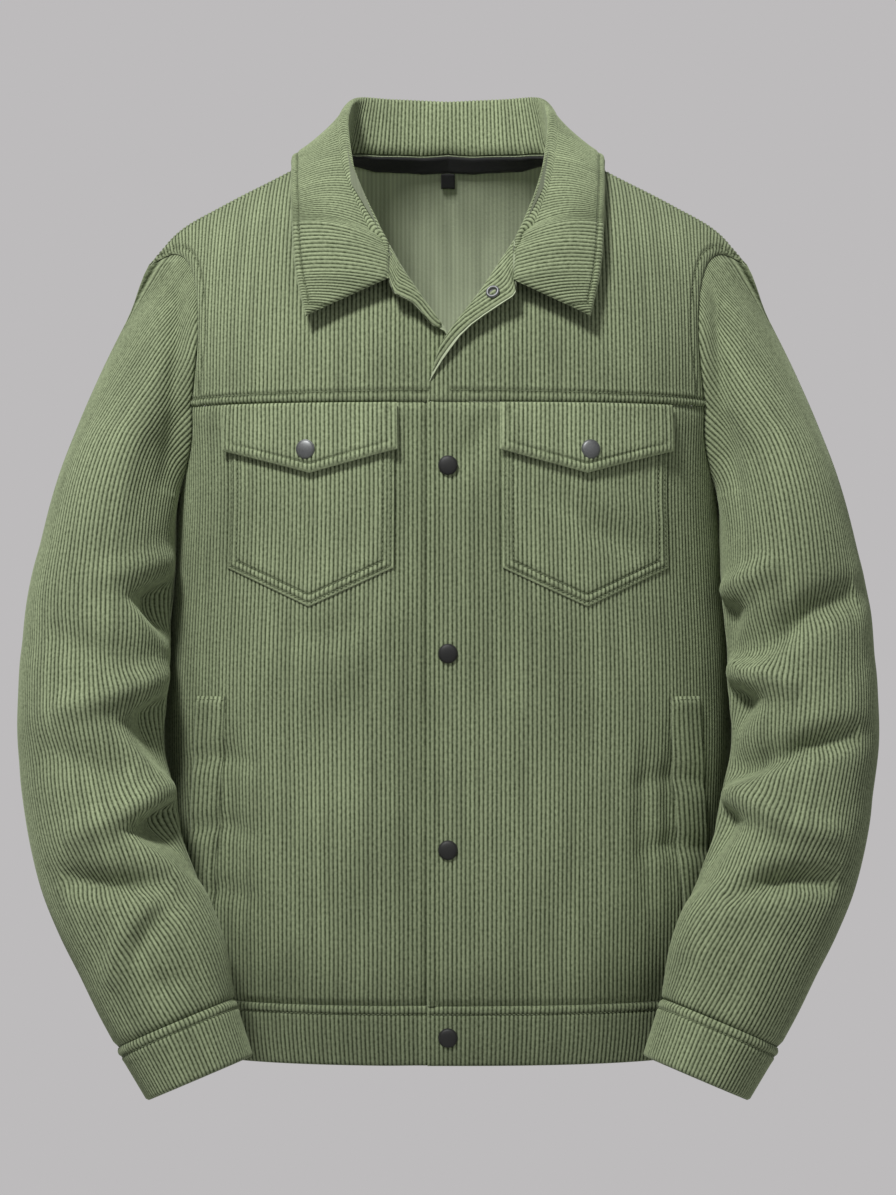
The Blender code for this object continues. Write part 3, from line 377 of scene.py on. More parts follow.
# One grid of a piece: points on the face, cloth distance across and along the wales, and its cut edges.
def patch(points, across, along, cut=("start", "end", "first", "last"), lines=(), flat=False, rolled=()):
    across, along = np.broadcast_arrays(across, along)
    masks = {border: np.full(len(points) - 1, border in cut) for border in ("first", "last")}
    return {
        "points": points, "across": across, "along": along, "flat": flat,
        "cut": set(cut), "masks": masks, "rolled": set(rolled),
        "lines": list(lines), "presses": [], "joins": [],
    }


# The grid's cut edges as lines of points, without the lengths that the masks leave joined.
def borders(grid):
    points, found = grid["points"], []
    sides = {"start": points[0], "end": points[-1], "first": points[:, 0], "last": points[:, -1]}
    for name, line in sides.items():
        if name in grid["cut"]:
            keep = np.ones(len(line), bool)
            if name in grid["masks"]:
                mask = grid["masks"][name]
                keep = np.append(mask, False) | np.insert(mask, 0, False)
            if keep.sum() > 1:
                found.append(thinned(line[keep]))
    return found


# A line of stitching draws the cloth in and lifts it beside the line, with painted shade in its groove as
# well as pressed pile; an edge that lies on the cloth presses it, with a painted shadow beside it; and an
# edge that rolls over shows pile to its rim, with a painted highlight along it. The pile is short beside a
# cut edge and ends at a join.
sewing = {
    "dent": 0.0009, "dentWidth": 0.0009, "dentPaintedShade": 0.6,
    "swell": 0.0004, "swellAt": 0.0030, "swellWidth": 0.0017,
    "press": 0.0006, "pressWidth": 0.0013, "pressPaintedShadow": 0.45,
    "rollWidth": 0.0014, "rollPaintedHighlight": 0.9,
    "cutFade": 0.0022, "joinFade": 0.002,
}


# Normal of each triangle, twice its area long.
def faceNormalsOf(points, faces):
    a, b, c = (points[faces[:, k]] for k in range(3))
    return np.cross(b - a, c - a)


# Sum of the normals of the faces round each point.
def faceNormals(points, faces):
    normals = faceNormalsOf(points, faces)
    total = np.zeros_like(points)
    for k in range(3):
        for axis in range(3):
            total[:, axis] += np.bincount(faces[:, k], normals[:, axis], len(points))
    return total


# Two triangles to a square of the grid, split along its shorter diagonal.
def gridFaces(index, points):
    squares = (index[:-1, :-1], index[:-1, 1:], index[1:, 1:], index[1:, :-1])
    a, b, c, d = (corner.reshape(-1) for corner in squares)
    falling = np.linalg.norm(points[a] - points[c], axis=1) > np.linalg.norm(points[b] - points[d], axis=1)
    last, third = np.where(falling, d, c), np.where(falling, b, a)
    return np.concatenate([np.stack([a, b, last], -1), np.stack([third, c, d], -1)])


# A strip between a fine border and the coarse one beneath it.
def rim(fine, coarse, reverse):
    near = (np.arange(len(fine)) + cloth["columns"] // 2) // cloth["columns"]
    near = np.clip(near, 0, len(coarse) - 1) if len(fine) != len(coarse) else np.arange(len(fine))
    one = np.stack([fine[1:], fine[:-1], coarse[near[1:]]], -1)
    two = np.stack([fine[:-1], coarse[near[:-1]], coarse[near[1:]]], -1)
    faces = np.concatenate([one, two[near[1:] != near[:-1]]])
    return faces[:, ::-1] if reverse else faces


# Indices of the first of each set of points that share a place, to a hundredth of a millimetre.
def welded(points):
    keys = np.round(points * 1e5).astype(np.int64)
    _, first, inverse = np.unique(keys, axis=0, return_index=True, return_inverse=True)
    return first, inverse.reshape(-1)


# Height of the face and shade of its pile: ridges, less what edges, stitches and presses take. The shade
# carries painted shade in stitch grooves, painted shadow beside pressing edges and a painted highlight on
# rolled edges.
# A cut edge drops by edge over edgeWidth.
def faceRelief(grid, edge, edgeWidth):
    points = grid["points"]
    wale = ridge(grid["across"]) * (0 if grid["flat"] else 1)
    cut = borders(grid)
    away = distanceTo(points, cut) if cut else np.full(wale.shape, 1.0)
    height = cloth["relief"] * wale * (0.25 + 0.75 * ease(away / sewing["cutFade"]))
    height = height - edge * bell(away, edgeWidth)
    if grid["lines"]:
        seam = distanceTo(points, [thinned(line) for line in grid["lines"]])
        dent = bell(seam, sewing["dentWidth"])
        height = height - sewing["dent"] * dent * (0.45 + 0.55 * wale)
        height = height + sewing["swell"] * bell(seam - sewing["swellAt"], sewing["swellWidth"])
        # Painted shade in the stitch groove, on top of its dip.
        wale = wale * (1 - sewing["dentPaintedShade"] * dent)
    if grid["presses"]:
        pressed = bell(distanceTo(points, [thinned(line) for line in grid["presses"]]), sewing["pressWidth"])
        height = height - sewing["press"] * pressed
        # Painted shadow beside an edge that lies on the cloth, on top of its dip.
        wale = wale * (1 - sewing["pressPaintedShadow"] * pressed)
    if grid["rolled"]:
        away = distanceTo(points, borders({**grid, "cut": grid["rolled"]}))
        # Painted highlight along a rolled edge.
        wale = wale + (sewing["rollPaintedHighlight"] - wale) * bell(away, sewing["rollWidth"])
    if grid["joins"]:
        height = height * ease(distanceTo(points, grid["joins"]) / sewing["joinFade"])
    return height, wale


# Turns patches into one closed piece of cloth: the face with its wales, a plain wrong side, and cut edges.
def sewPiece(name, patches, material, flip=False, edge=(0.0008, 0.0012), wall=cloth["wall"]):
    starts = np.cumsum([0] + [grid["points"][..., 0].size for grid in patches])
    points = np.concatenate([grid["points"].reshape(-1, 3) for grid in patches])
    faces = []
    for start, grid in zip(starts, patches):
        rows, columns = grid["points"].shape[:2]
        faces.append(gridFaces(start + np.arange(rows * columns).reshape(rows, columns), points))
    faces = np.concatenate(faces)
    faces = faces[:, ::-1] if flip else faces
    first, inverse = welded(points)
    normals = unit(faceNormals(points[first], inverse[faces]))[inverse]
    heights, ridges, innerPoints, innerFaces, uv, innerUv = [], [], [], [], [], []
    count = len(points)
    for start, grid in zip(starts, patches):
        height, wale = faceRelief(grid, *edge)
        heights.append(height.reshape(-1))
        ridges.append(wale.reshape(-1))
        uv.append(np.stack([grid["across"], grid["along"]], -1).reshape(-1, 2))
        index = np.arange(wale.size).reshape(wale.shape)
        coarse = index[:, :: cloth["columns"]]
        under = grid["points"].reshape(-1, 3) - normals[start : start + wale.size] * wall
        base = count + sum(len(part) for part in innerPoints)
        innerPoints.append(under[coarse.reshape(-1)])
        innerUv.append(uv[-1][coarse.reshape(-1)])
        inner = base + np.arange(coarse.size).reshape(coarse.shape)
        outer = start + index
        parts = [gridFaces(inner - base, innerPoints[-1])[:, ::-1] + base]
        if "start" in grid["cut"]:
            parts.append(rim(outer[0], inner[0], False))
        if "end" in grid["cut"]:
            parts.append(rim(outer[-1], inner[-1], True))
        for border, column, reverse in (("first", 0, True), ("last", -1, False)):
            strip = rim(outer[:, column], inner[:, column], reverse)
            keep = np.tile(grid["masks"][border], 2)
            parts.append(strip[keep])
        strips = np.concatenate(parts)
        innerFaces.append(strips[:, ::-1] if flip else strips)
    face = points + normals * np.concatenate(heights)[:, None]
    area = float(np.linalg.norm(faceNormalsOf(points, faces), axis=1).sum() / 2)
    allPoints = np.concatenate([face] + innerPoints)
    allUv = np.concatenate(uv + innerUv)
    allRidges = np.concatenate([np.concatenate(ridges), np.full(len(allPoints) - count, -1.0)])
    return buildMesh(name, allPoints, np.concatenate([faces] + innerFaces), allUv, allRidges, material)


def addObject(name, data):
    made = bpy.data.objects.new(name, data)
    bpy.context.scene.collection.objects.link(made)
    return made


# A mesh with its points welded, its UV map in centimetres of cloth and the pile's shade at each point, which
# holds the painted shade of grooves and seams and the painted highlight of rolled edges.
def buildMesh(name, points, faces, uv, ridges, material, sharp=82):
    first, inverse = welded(points)
    merged = inverse[faces]
    whole = (merged[:, 0] != merged[:, 1]) & (merged[:, 1] != merged[:, 2]) & (merged[:, 0] != merged[:, 2])
    merged, corners = merged[whole], faces[whole]
    mesh = bpy.data.meshes.new(name)
    mesh.vertices.add(len(first))
    mesh.vertices.foreach_set("co", points[first].astype(np.float32).reshape(-1))
    mesh.loops.add(merged.size)
    mesh.loops.foreach_set("vertex_index", merged.astype(np.int32).reshape(-1))
    mesh.polygons.add(len(merged))
    mesh.polygons.foreach_set("loop_start", np.arange(0, merged.size, 3, dtype=np.int32))
    mesh.update(calc_edges=True)
    layer = mesh.uv_layers.new(name="clothMap")
    layer.data.foreach_set("uv", (uv[corners.reshape(-1)] * 100).astype(np.float32).reshape(-1))
    wale = mesh.attributes.new("wale", "FLOAT", "POINT")
    wale.data.foreach_set("value", ridges[first].astype(np.float32))
    mesh.materials.append(material)
    mesh.shade_smooth()
    mesh.set_sharp_from_angle(angle=math.radians(sharp))
    print(name, len(merged), "triangles")
    return addObject(name, mesh)


# Materials.
tones = {
    "crest": (0.335, 0.392, 0.232),
    # Painted shade in the grooves between the wales.
    "shadedValley": (0.026, 0.036, 0.013),
    # The wrong side's paler colour, raised with painted light.
    "wrongSideLit": (0.440, 0.495, 0.335),
    "tape": (0.012, 0.012, 0.013),
    "blackCap": (0.012, 0.012, 0.011),
    "steelCap": (0.190, 0.195, 0.195),
}
# Pile: how fine each noise is on the cloth (in centimetres, across and along), and how much it shows.
pileLook = {
    "tuftScale": (5.0, 4.2, 1.0), "fibreScale": (38.0, 16.0, 1.0), "streakScale": (1.3, 0.10, 1.0),
    "patchScale": 14.0,
    "tuft": 1.0, "fibre": 1.1, "rib": 0.12, "grain": 0.25, "mottle": 0.50, "tuftBump": 0.7, "fibreBump": 0.5,
}


clothLook = {
    "Roughness": 0.92, "Specular IOR Level": 0.15,
    "Sheen Weight": 0.28, "Sheen Roughness": 0.45, "Sheen Tint": (0.75, 0.85, 0.6, 1),
}
tapeLook = {"Roughness": 0.85, "Sheen Weight": 0.15}
bumpLook = {"cloth": (0.55, 0.0005), "tape": (0.5, 0.0003)}  # strength and height


def setInputs(node, values):
    for label, value in values.items():
        node.inputs[label].default_value = value


def mathNode(tree, operation, first, second=None, clamp=False):
    node = tree.nodes.new("ShaderNodeMath")
    node.operation, node.use_clamp = operation, clamp
    for socket, value in zip(node.inputs, (first, second)):
        if value is None:
            continue
        if isinstance(value, (int, float)):
            socket.default_value = value
        else:
            tree.links.new(value, socket)
    return node.outputs[0]


def mixColour(tree, factor, first, second, blend="MIX"):
    node = tree.nodes.new("ShaderNodeMix")
    node.data_type, node.blend_type = "RGBA", blend
    for socket, value in ((node.inputs["Factor"], factor), (node.inputs[6], first), (node.inputs[7], second)):
        if isinstance(value, tuple):
            socket.default_value = (*value, 1.0)
        elif isinstance(value, (int, float)):
            socket.default_value = value
        else:
            tree.links.new(value, socket)
    return node.outputs[2]


def stretched(tree, vector, scale):
    node = tree.nodes.new("ShaderNodeMapping")
    setInputs(node, {"Scale": scale})
    tree.links.new(vector, node.inputs["Vector"])
    return node.outputs["Vector"]


def noiseAt(tree, vector, scale, detail=2.0):
    node = tree.nodes.new("ShaderNodeTexNoise")
    setInputs(node, {"Scale": scale, "Detail": detail})
    tree.links.new(vector, node.inputs["Vector"])
    return node.outputs["Fac"]


# Noise turned about zero: (noise - 1/2) * amount.
def swing(tree, noise, amount):
    return mathNode(tree, "MULTIPLY", mathNode(tree, "SUBTRACT", noise, 0.5), amount)


def clothMap(tree):
    uv = tree.nodes.new("ShaderNodeUVMap")
    uv.uv_map = "clothMap"
    return uv.outputs["UV"]


def addBump(tree, shader, height, strength, distance):
    bump = tree.nodes.new("ShaderNodeBump")
    setInputs(bump, {"Strength": strength, "Distance": distance})
    tree.links.new(height, bump.inputs["Height"])
    tree.links.new(bump.outputs["Normal"], shader.inputs["Normal"])


# Pile cloth: painted shade in the grooves between light ridges, tufts and streaks along them, faint ribs on
# the wrong side.
def makePileGroup():
    group = bpy.data.node_groups.new("corduroyPile", "ShaderNodeTree")
    for label, tone in (("Crest", "crest"), ("Shaded Valley", "shadedValley"), ("Wrong Side Lit", "wrongSideLit")):
        socket = group.interface.new_socket(label, in_out="INPUT", socket_type="NodeSocketColor")
        socket.default_value = (*tones[tone], 1)
    for label, kind in (("Color", "NodeSocketColor"), ("Height", "NodeSocketFloat")):
        group.interface.new_socket(label, in_out="OUTPUT", socket_type=kind)
    given, out = group.nodes.new("NodeGroupInput"), group.nodes.new("NodeGroupOutput")
    wale = group.nodes.new("ShaderNodeAttribute")
    wale.attribute_name = "wale"
    ridgeValue = wale.outputs["Fac"]
    uv = clothMap(group)
    objectAt = group.nodes.new("ShaderNodeTexCoord").outputs["Object"]
    tufts = noiseAt(group, stretched(group, uv, pileLook["tuftScale"]), 1.0)
    fibres = noiseAt(group, stretched(group, uv, pileLook["fibreScale"]), 1.0)
    streaks = noiseAt(group, stretched(group, uv, pileLook["streakScale"]), 1.0, 1.0)
    patches = noiseAt(group, objectAt, pileLook["patchScale"], 3.0)
    factor = mathNode(group, "ADD", ridgeValue, swing(group, tufts, pileLook["tuft"]))
    factor = mathNode(group, "ADD", factor, swing(group, fibres, pileLook["fibre"]), clamp=True)
    # Painted shade: towards the valley colour where the ridge value is low, in the grooves, seams and
    # presses.
    pile = mixColour(group, factor, given.outputs["Shaded Valley"], given.outputs["Crest"])
    uvAcross = group.nodes.new("ShaderNodeSeparateXYZ")
    group.links.new(uv, uvAcross.inputs[0])
    turn = mathNode(group, "MULTIPLY", uvAcross.outputs["X"], 2 * math.pi / (cloth["wale"] * 100))
    rib = mathNode(group, "MULTIPLY", mathNode(group, "SINE", turn), pileLook["rib"])
    shade = mathNode(group, "ADD", mathNode(group, "ADD", rib, swing(group, fibres, pileLook["grain"])), 1.0)
    # The wrong side's colour, paler than the face and raised with painted light.
    wrong = mixColour(group, 1.0, given.outputs["Wrong Side Lit"], shade, "MULTIPLY")
    colour = mixColour(group, mathNode(group, "LESS_THAN", ridgeValue, -0.5), pile, wrong)
    mottle = mathNode(group, "MULTIPLY", mathNode(group, "ADD", streaks, patches), pileLook["mottle"])
    mottle = mathNode(group, "ADD", mottle, 1 - pileLook["mottle"])
    group.links.new(mixColour(group, 1.0, colour, mottle, "MULTIPLY"), out.inputs["Color"])
    tuftBump = mathNode(group, "MULTIPLY", tufts, pileLook["tuftBump"])
    fibreBump = mathNode(group, "MULTIPLY", fibres, pileLook["fibreBump"])
    group.links.new(mathNode(group, "ADD", tuftBump, fibreBump), out.inputs["Height"])
    return group


def newMaterial(name):
    material = bpy.data.materials.new(name)
    material.use_nodes = True
    return material, material.node_tree, material.node_tree.nodes["Principled BSDF"]


# A tone of the colours: each part times tone, no more than 1.
def scaled(colour, tone):
    return (*(min(1.0, part * tone) for part in colour), 1)


pileGroup = makePileGroup()


def corduroy(name, tone=1.0, wrong=1.0):
    material, tree, shader = newMaterial(name)
    pile = tree.nodes.new("ShaderNodeGroup")
    pile.node_tree = pileGroup
    setInputs(pile, {
        "Crest": scaled(tones["crest"], tone),
        "Shaded Valley": scaled(tones["shadedValley"], tone),
        "Wrong Side Lit": scaled(tones["wrongSideLit"], wrong),
    })
    tree.links.new(pile.outputs["Color"], shader.inputs["Base Color"])
    addBump(tree, shader, pile.outputs["Height"], *bumpLook["cloth"])
    setInputs(shader, clothLook)
    return material


bodyCloth = corduroy("bodyCorduroy", 0.955)
# The pocket and flaps, and the collar and facings, take lighter copies of the body's cloth: painted light.
# The collar's wrong side is darkened to about the face's tone.
litPocketCloth = corduroy("litPocketCorduroy", 1.08)
litCollarCloth = corduroy("collarCorduroy", 1.03, 0.38)
# The hem band takes a darker copy of the body's cloth: painted shade.
shadedHemCloth = corduroy("hemCorduroy", 0.72)
threadCloth = corduroy("seamThread", 0.87)


def plain(name, colour, roughness):
    material, _, shader = newMaterial(name)
    setInputs(shader, {"Base Color": (*colour, 1), "Roughness": roughness})
    return material


# Woven tape: fine twill lines on the UV map.
def wovenTape(name, colour):
    material, tree, shader = newMaterial(name)
    uv = clothMap(tree)
    wave = tree.nodes.new("ShaderNodeTexWave")
    wave.bands_direction = "DIAGONAL"
    setInputs(wave, {"Scale": 5.5})
    tree.links.new(uv, wave.inputs["Vector"])
    grain = noiseAt(tree, stretched(tree, uv, (30.0, 30.0, 1.0)), 1.0)
    shade = mathNode(tree, "ADD", mathNode(tree, "MULTIPLY", wave.outputs["Fac"], 0.6), grain)
    tree.links.new(mixColour(tree, 1.0, colour, shade, "MULTIPLY"), shader.inputs["Base Color"])
    addBump(tree, shader, wave.outputs["Fac"], *bumpLook["tape"])
    setInputs(shader, tapeLook)
    return material


# Metal or painted caps: fine scuffs that lighten the colour and roughen it.
def capFinish(name, colour, metallic, roughness):
    material, tree, shader = newMaterial(name)
    scuffs = noiseAt(tree, tree.nodes.new("ShaderNodeTexCoord").outputs["Object"], 900.0, 4.0)
    shade = mathNode(tree, "ADD", mathNode(tree, "MULTIPLY", scuffs, 0.5), 0.75)
    tree.links.new(mixColour(tree, 1.0, colour, shade, "MULTIPLY"), shader.inputs["Base Color"])
    rough = mathNode(tree, "ADD", mathNode(tree, "MULTIPLY", scuffs, 0.25), roughness - 0.1)
    tree.links.new(rough, shader.inputs["Roughness"])
    setInputs(shader, {"Metallic": metallic})
    return material


tapeCloth = wovenTape("blackTape", tones["tape"])
blackCap = capFinish("blackCapFinish", tones["blackCap"], 0.0, 0.55)
steelCap = capFinish("steelCapFinish", tones["steelCap"], 0.85, 0.48)
print("materials made")

# A stitch: length, gap to the next, thickness, how far its middle stands off the cloth and its ends sink in,
# and its profile: places along half the length and the width at each.
thread = {
    "length": 0.0027, "gap": 0.0007, "radius": 0.00026, "lift": 0.00042, "sink": 0.00045,
    "shares": np.array([-1.0, -0.55, 0.0, 0.55, 1.0]), "widths": np.array([0.25, 0.9, 1.0, 0.9, 0.25]),
}
stitchLines = []


# Point and outward direction of a surface(s, t), by the cross product of its two slopes.
def onSurface(surface, s, t, outward=1):
    s, t = np.broadcast_arrays(np.asarray(s, float), np.asarray(t, float))
    here = surface(s, t)
    across = surface(s + 1e-4, t) - surface(s - 1e-4, t)
    up = surface(s, t + 1e-4) - surface(s, t - 1e-4)
    return here, unit(np.cross(across, up)) * outward


# Keeps a line for the stitches, mirrored to its side, and gives its points on the cloth back.
def sewAlong(points, normals, side="left", lift=0.0):
    stitchLines.append((sided(points + normals * lift, side), sided(normals, side)))
    return sided(points, side)


# Each stitch is a spindle of rings between two points, its ends sunk into the cloth.
def makeStitches(name):
    centres, tangents, ups = [], [], []
    half = thread["length"] / 2
    for points, normals in stitchLines:
        along = stepsAlong(points)
        spots = np.arange(half, along[-1] - half, thread["length"] + thread["gap"])
        if len(spots) == 0:
            continue
        centres.append(pointsAt(spots, along, points))
        ahead, behind = (pointsAt(spots + step, along, points) for step in (0.0006, -0.0006))
        tangents.append(unit(ahead - behind))
        ups.append(unit(pointsAt(spots, along, normals)))
    centres, tangents, ups = (np.concatenate(part) for part in (centres, tangents, ups))
    sideways = unit(np.cross(tangents, ups))
    turns = np.linspace(0, 2 * math.pi, 5, endpoint=False)
    ring = np.cos(turns)[:, None, None] * sideways + np.sin(turns)[:, None, None] * ups
    points = []
    for share, width in zip(thread["shares"], thread["widths"]):
        lift = thread["lift"] - thread["sink"] * share**2
        middle = centres + tangents * share * thread["length"] / 2 + ups * lift
        points.append(middle + ring * width * thread["radius"])
    points = np.stack(points).transpose(2, 0, 1, 3)
    index = np.arange(points[..., 0].size).reshape(points.shape[:3])
    nextOne = np.roll(index, -1, axis=2)
    a, b = index[:, :-1].reshape(-1), nextOne[:, :-1].reshape(-1)
    c, d = nextOne[:, 1:].reshape(-1), index[:, 1:].reshape(-1)
    faces = [np.stack([a, c, b], -1), np.stack([a, d, c], -1)]
    for k in (1, 2, 3):
        faces.append(np.stack([index[:, 0, 0], index[:, 0, k], index[:, 0, k + 1]], -1))
        faces.append(np.stack([index[:, 4, 0], index[:, 4, k + 1], index[:, 4, k]], -1))
    points = points.reshape(-1, 3)
    uv = np.full((len(points), 2), 0.005)
    return buildMesh(name, points, np.concatenate(faces), uv, np.full(len(points), 0.75), threadCloth)


# What lies on the fronts: its sides, as cloth from the centre line, its heights, and how far in from its edge
# the stitches run. "pressed" is where the cloth beneath it is pressed and darkened with painted shadow,
# beside its edges.
pocket = {
    "left": 0.0405, "right": 0.170, "top": -0.1925, "side": -0.311, "point": -0.339,
    "stitches": (0.0024, 0.0078), "rowStep": 0.0055, "pressed": 0.0010,
}
flap = {
    "left": 0.03804, "right": 0.17246, "top": -0.1915, "side": -0.2255, "point": -0.2425,
    "stitches": (0.0066,), "rowStep": 0.0042, "spread": 0.0032,
}
welt = {
    "top": -0.405, "bottom": -0.575, "topX": 0.184, "bottomX": 0.1945, "width": 0.021,
    "rowStep": 0.0055, "lift": 0.0004, "pressed": (-0.0014, 0.0218),
}
placket = {"width": 0.0065, "height": 0.0018, "pressed": 0.0012}

# Pulls in each front: (along, height) points of a line, how far the cloth stands out along it (drawn in, if
# negative), and how wide.
pulls = {
    "left": [
        ([(0.036, -0.196), (0.018, -0.222), (0.002, -0.240)], -0.0030, 0.011),
        ([(0.030, -0.255), (0.040, -0.330), (0.028, -0.420)], -0.0016, 0.014),
        ([(0.070, -0.247), (0.105, -0.282), (0.150, -0.300)], -0.0026, 0.011),
        ([(0.080, -0.225), (0.120, -0.262), (0.165, -0.285)], 0.0018, 0.012),
        ([(0.150, -0.440), (0.146, -0.500), (0.152, -0.560)], -0.0034, 0.009),
        ([(0.172, -0.420), (0.170, -0.480), (0.176, -0.545)], -0.0028, 0.008),
        ([(0.135, -0.470), (0.165, -0.462), (0.205, -0.470)], -0.0024, 0.007),
        ([(0.140, -0.520), (0.170, -0.512), (0.210, -0.520)], -0.0026, 0.007),
        ([(0.060, -0.420), (0.070, -0.500), (0.060, -0.580)], 0.0016, 0.020),
        ([(0.105, -0.400), (0.110, -0.480), (0.100, -0.570)], -0.0016, 0.016),
    ],
    "right": [
        ([(0.030, -0.196), (0.026, -0.250), (0.030, -0.300)], -0.0026, 0.011),
        ([(0.034, -0.330), (0.062, -0.370), (0.105, -0.420)], 0.0024, 0.016),
        ([(0.055, -0.345), (0.085, -0.360), (0.120, -0.362)], -0.0020, 0.010),
        ([(0.022, -0.400), (0.024, -0.500), (0.022, -0.610)], -0.0022, 0.008),
        ([(0.100, -0.430), (0.118, -0.500), (0.108, -0.580)], -0.0018, 0.016),
        ([(0.062, -0.440), (0.066, -0.520), (0.058, -0.600)], 0.0016, 0.018),
        ([(0.160, -0.430), (0.164, -0.500), (0.158, -0.570)], -0.0026, 0.010),
        ([(0.140, -0.455), (0.172, -0.448), (0.210, -0.455)], -0.0024, 0.007),
        ([(0.142, -0.505), (0.175, -0.498), (0.212, -0.506)], -0.0026, 0.007),
        ([(0.140, -0.552), (0.172, -0.546), (0.205, -0.552)], -0.0022, 0.007),
    ],
}


# Sum over the lines of depth * exp(-(distance / width)^2), faded towards their ends by sin(pi * share)^0.6.
def pulledBy(rows, a, b):
    total = np.zeros(np.broadcast(a, b).shape)
    for line, depth, width in rows:
        line = np.array(line)
        spans = np.diff(line, axis=0)
        squares = (spans**2).sum(-1)
        lengths = np.sqrt(squares)
        starts = np.concatenate([[0], np.cumsum(lengths)])
        away, share = np.full(total.shape, 9.0), np.zeros(total.shape)
        for k in range(len(spans)):
            t = np.clip(((a - line[k, 0]) * spans[k, 0] + (b - line[k, 1]) * spans[k, 1]) / squares[k], 0, 1)
            distance = np.hypot(a - line[k, 0] - t * spans[k, 0], b - line[k, 1] - t * spans[k, 1])
            closer = distance < away
            away = np.where(closer, distance, away)
            share = np.where(closer, (starts[k] + t * lengths[k]) / starts[-1], share)
        total += depth * bell(away, width) * (0.15 + 0.85 * np.sin(math.pi * share) ** 0.6)
    return total


# Soft waves in the fronts: turns per metre along and up, shift and share; how deep, and where they fade.
hang = {
    "waves": [(47, 9, 0.6, 0.5), (83, -15, 2.1, 0.3), (21, 38, 1.0, 0.35)],
    "depth": 0.0010, "aboveHem": 0.04, "belowYoke": 0.012, "fromEdge": (-0.012, 0.03),
}


# Hanging cloth: a sum of sines over the surface, and the front's own pulls, in metres.
def drape(side, s, z):
    waves = sum(np.sin(s * along + z * up + shift) * share for along, up, shift, share in hang["waves"])
    push = hang["depth"] * waves + pulledBy(pulls[side], s, z)
    begin, fade = hang["fromEdge"]
    push = push * ease((z - body["hemSeam"]) / hang["aboveHem"]) * ease((s - begin) / fade)
    return push * ease((body["yoke"] - z) / hang["belowYoke"])


def frontSurface(side):
    def surface(s, z):
        return underlap(section(s, z, "front"), s, side)
    return surface


# The lower front's own cloth at (s, z), moved out by its wall and lift.
def overFront(side, s, z, lift):
    points, normals = onSurface(frontSurface(side), s, z)
    return points + normals * (drape(side, s, z) + lift + cloth["wall"])[..., None], normals


# The front's own face along a line that something sewn over it presses.
def pressedLine(side, along, heights):
    return sided(overFront(side, along, heights, -cloth["wall"])[0], side)


# Cloth distances from the centre line at which the front passes each x at height z.
def alongFront(x, z):
    tries = np.linspace(0.0, 0.26, 400)
    fronts = [section(tries, np.full(400, level), "front")[:, 0] for level in z]
    return np.array([np.interp(xs, front, tries) for xs, front in zip(x, fronts)])


# The outer edge of a side pocket's welt at height z, a straight line in x.
def weltEdge(z):
    share = (z - welt["bottom"]) / (welt["top"] - welt["bottom"])
    return welt["bottomX"] + (welt["topX"] - welt["bottomX"]) * share


# Sews a piece of cloth from its patches and puts it in place of its node, by default the one with its name.
def sewSheet(name, patches, material, slotName="corduroy", node=None, **look):
    piece = sewPiece(name + "_cloth", patches, material, **look)
    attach(piece, "root")
    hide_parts(node or name)


# The closing edge stands up in a soft roll: a half sine, to the power of 0.7, over its first few millimetres.
def placketRoll(s):
    across = (s + body["frontOverlap"]) / placket["width"]
    return placket["height"] * np.sin(math.pi * np.clip(across, 0, 1)) ** 0.7


# A lower front: the section from the closing edge to the side or the scoop, between hem seam and yoke.
def lowerFront(side):
    z = panelRows(body["yoke"], 0.0235)[:, None]
    limit = scoopLimit(z, "front")
    columns = waleColumns(-body["frontOverlap"], float(limit.max()))[None]
    s = np.clip(columns, -body["frontOverlap"], limit)
    points, normals = onSurface(frontSurface(side), s, z + 0 * s)
    rolled = placketRoll(s) if side == "left" else 0
    points = points + normals * (drape(side, s, z) + rolled)[..., None]
    grid = patch(sided(points, side), s, z - body["hemSeam"], rolled=("first",))
    # Painted shadow and a slight dip beside the pocket's sides, both edges of the welt and, on the right
    # front, the closing edge.
    down = np.linspace(body["yoke"], pocket["side"], 60)
    for along in (pocket["left"] - pocket["pressed"], pocket["right"] + pocket["pressed"]):
        grid["presses"].append(pressedLine(side, np.full(60, along), down))
    down = np.linspace(welt["top"], welt["bottom"], 60)
    for inset in welt["pressed"]:
        grid["presses"].append(pressedLine(side, alongFront(weltEdge(down) - inset, down), down))
    if side == "right":
        down = np.linspace(body["yoke"], body["hemSeam"], 60)
        along = np.full(60, body["frontOverlap"] + placket["pressed"])
        grid["presses"].append(pressedLine(side, along, down))
    sewSheet("front_" + side, [grid], bodyCloth, flip=side == "right", edge=(0.0005, 0.0009))


for side in ("left", "right"):
    lowerFront(side)

# Yokes, lapels and facings.
yokeSize = {
    "rowStep": 0.0055, "tall": 0.17, "measuredAt": 0.12,  # cloth to one level, and where it is measured
    "stitchIn": 0.0072, "band": 0.0006, "armholeStitch": 0.0090,
}
facingSize = {
    "lift": 0.0019, "puff": 0.0009, "clear": 0.006, "stitchIn": 0.0065, "stitchLift": 0.0021, "least": 0.012,
}


# Distance of the front edge, roll line or neckline from the centre at level v, by repeated substitution.
def rollAlong(v, side):
    table = opening[side]
    s = np.zeros_like(v)
    up = np.sin(v * body["frontTurn"]) / np.sin(body["frontTurn"])
    for _ in range(30):
        high = smooth(np.abs(s), shoulder["along"], shoulder["z"])
        z = body["yoke"] + (high - body["yoke"]) * up
        s = 0.5 * s + 0.5 * np.interp(z, table["height"], table["along"])
    return np.where(v > 0.999, body["neckAlong"], s)


def yokeSurface(side):
    def surface(s, v):
        return underlap(rise(s, v, "front"), s, side)
    return surface


# Cloth from the centre line to the armhole at level v.
def armholeLimit(v, side):
    return alongAt(smooth(v, armhole["rise"], armhole[side]), v, side)


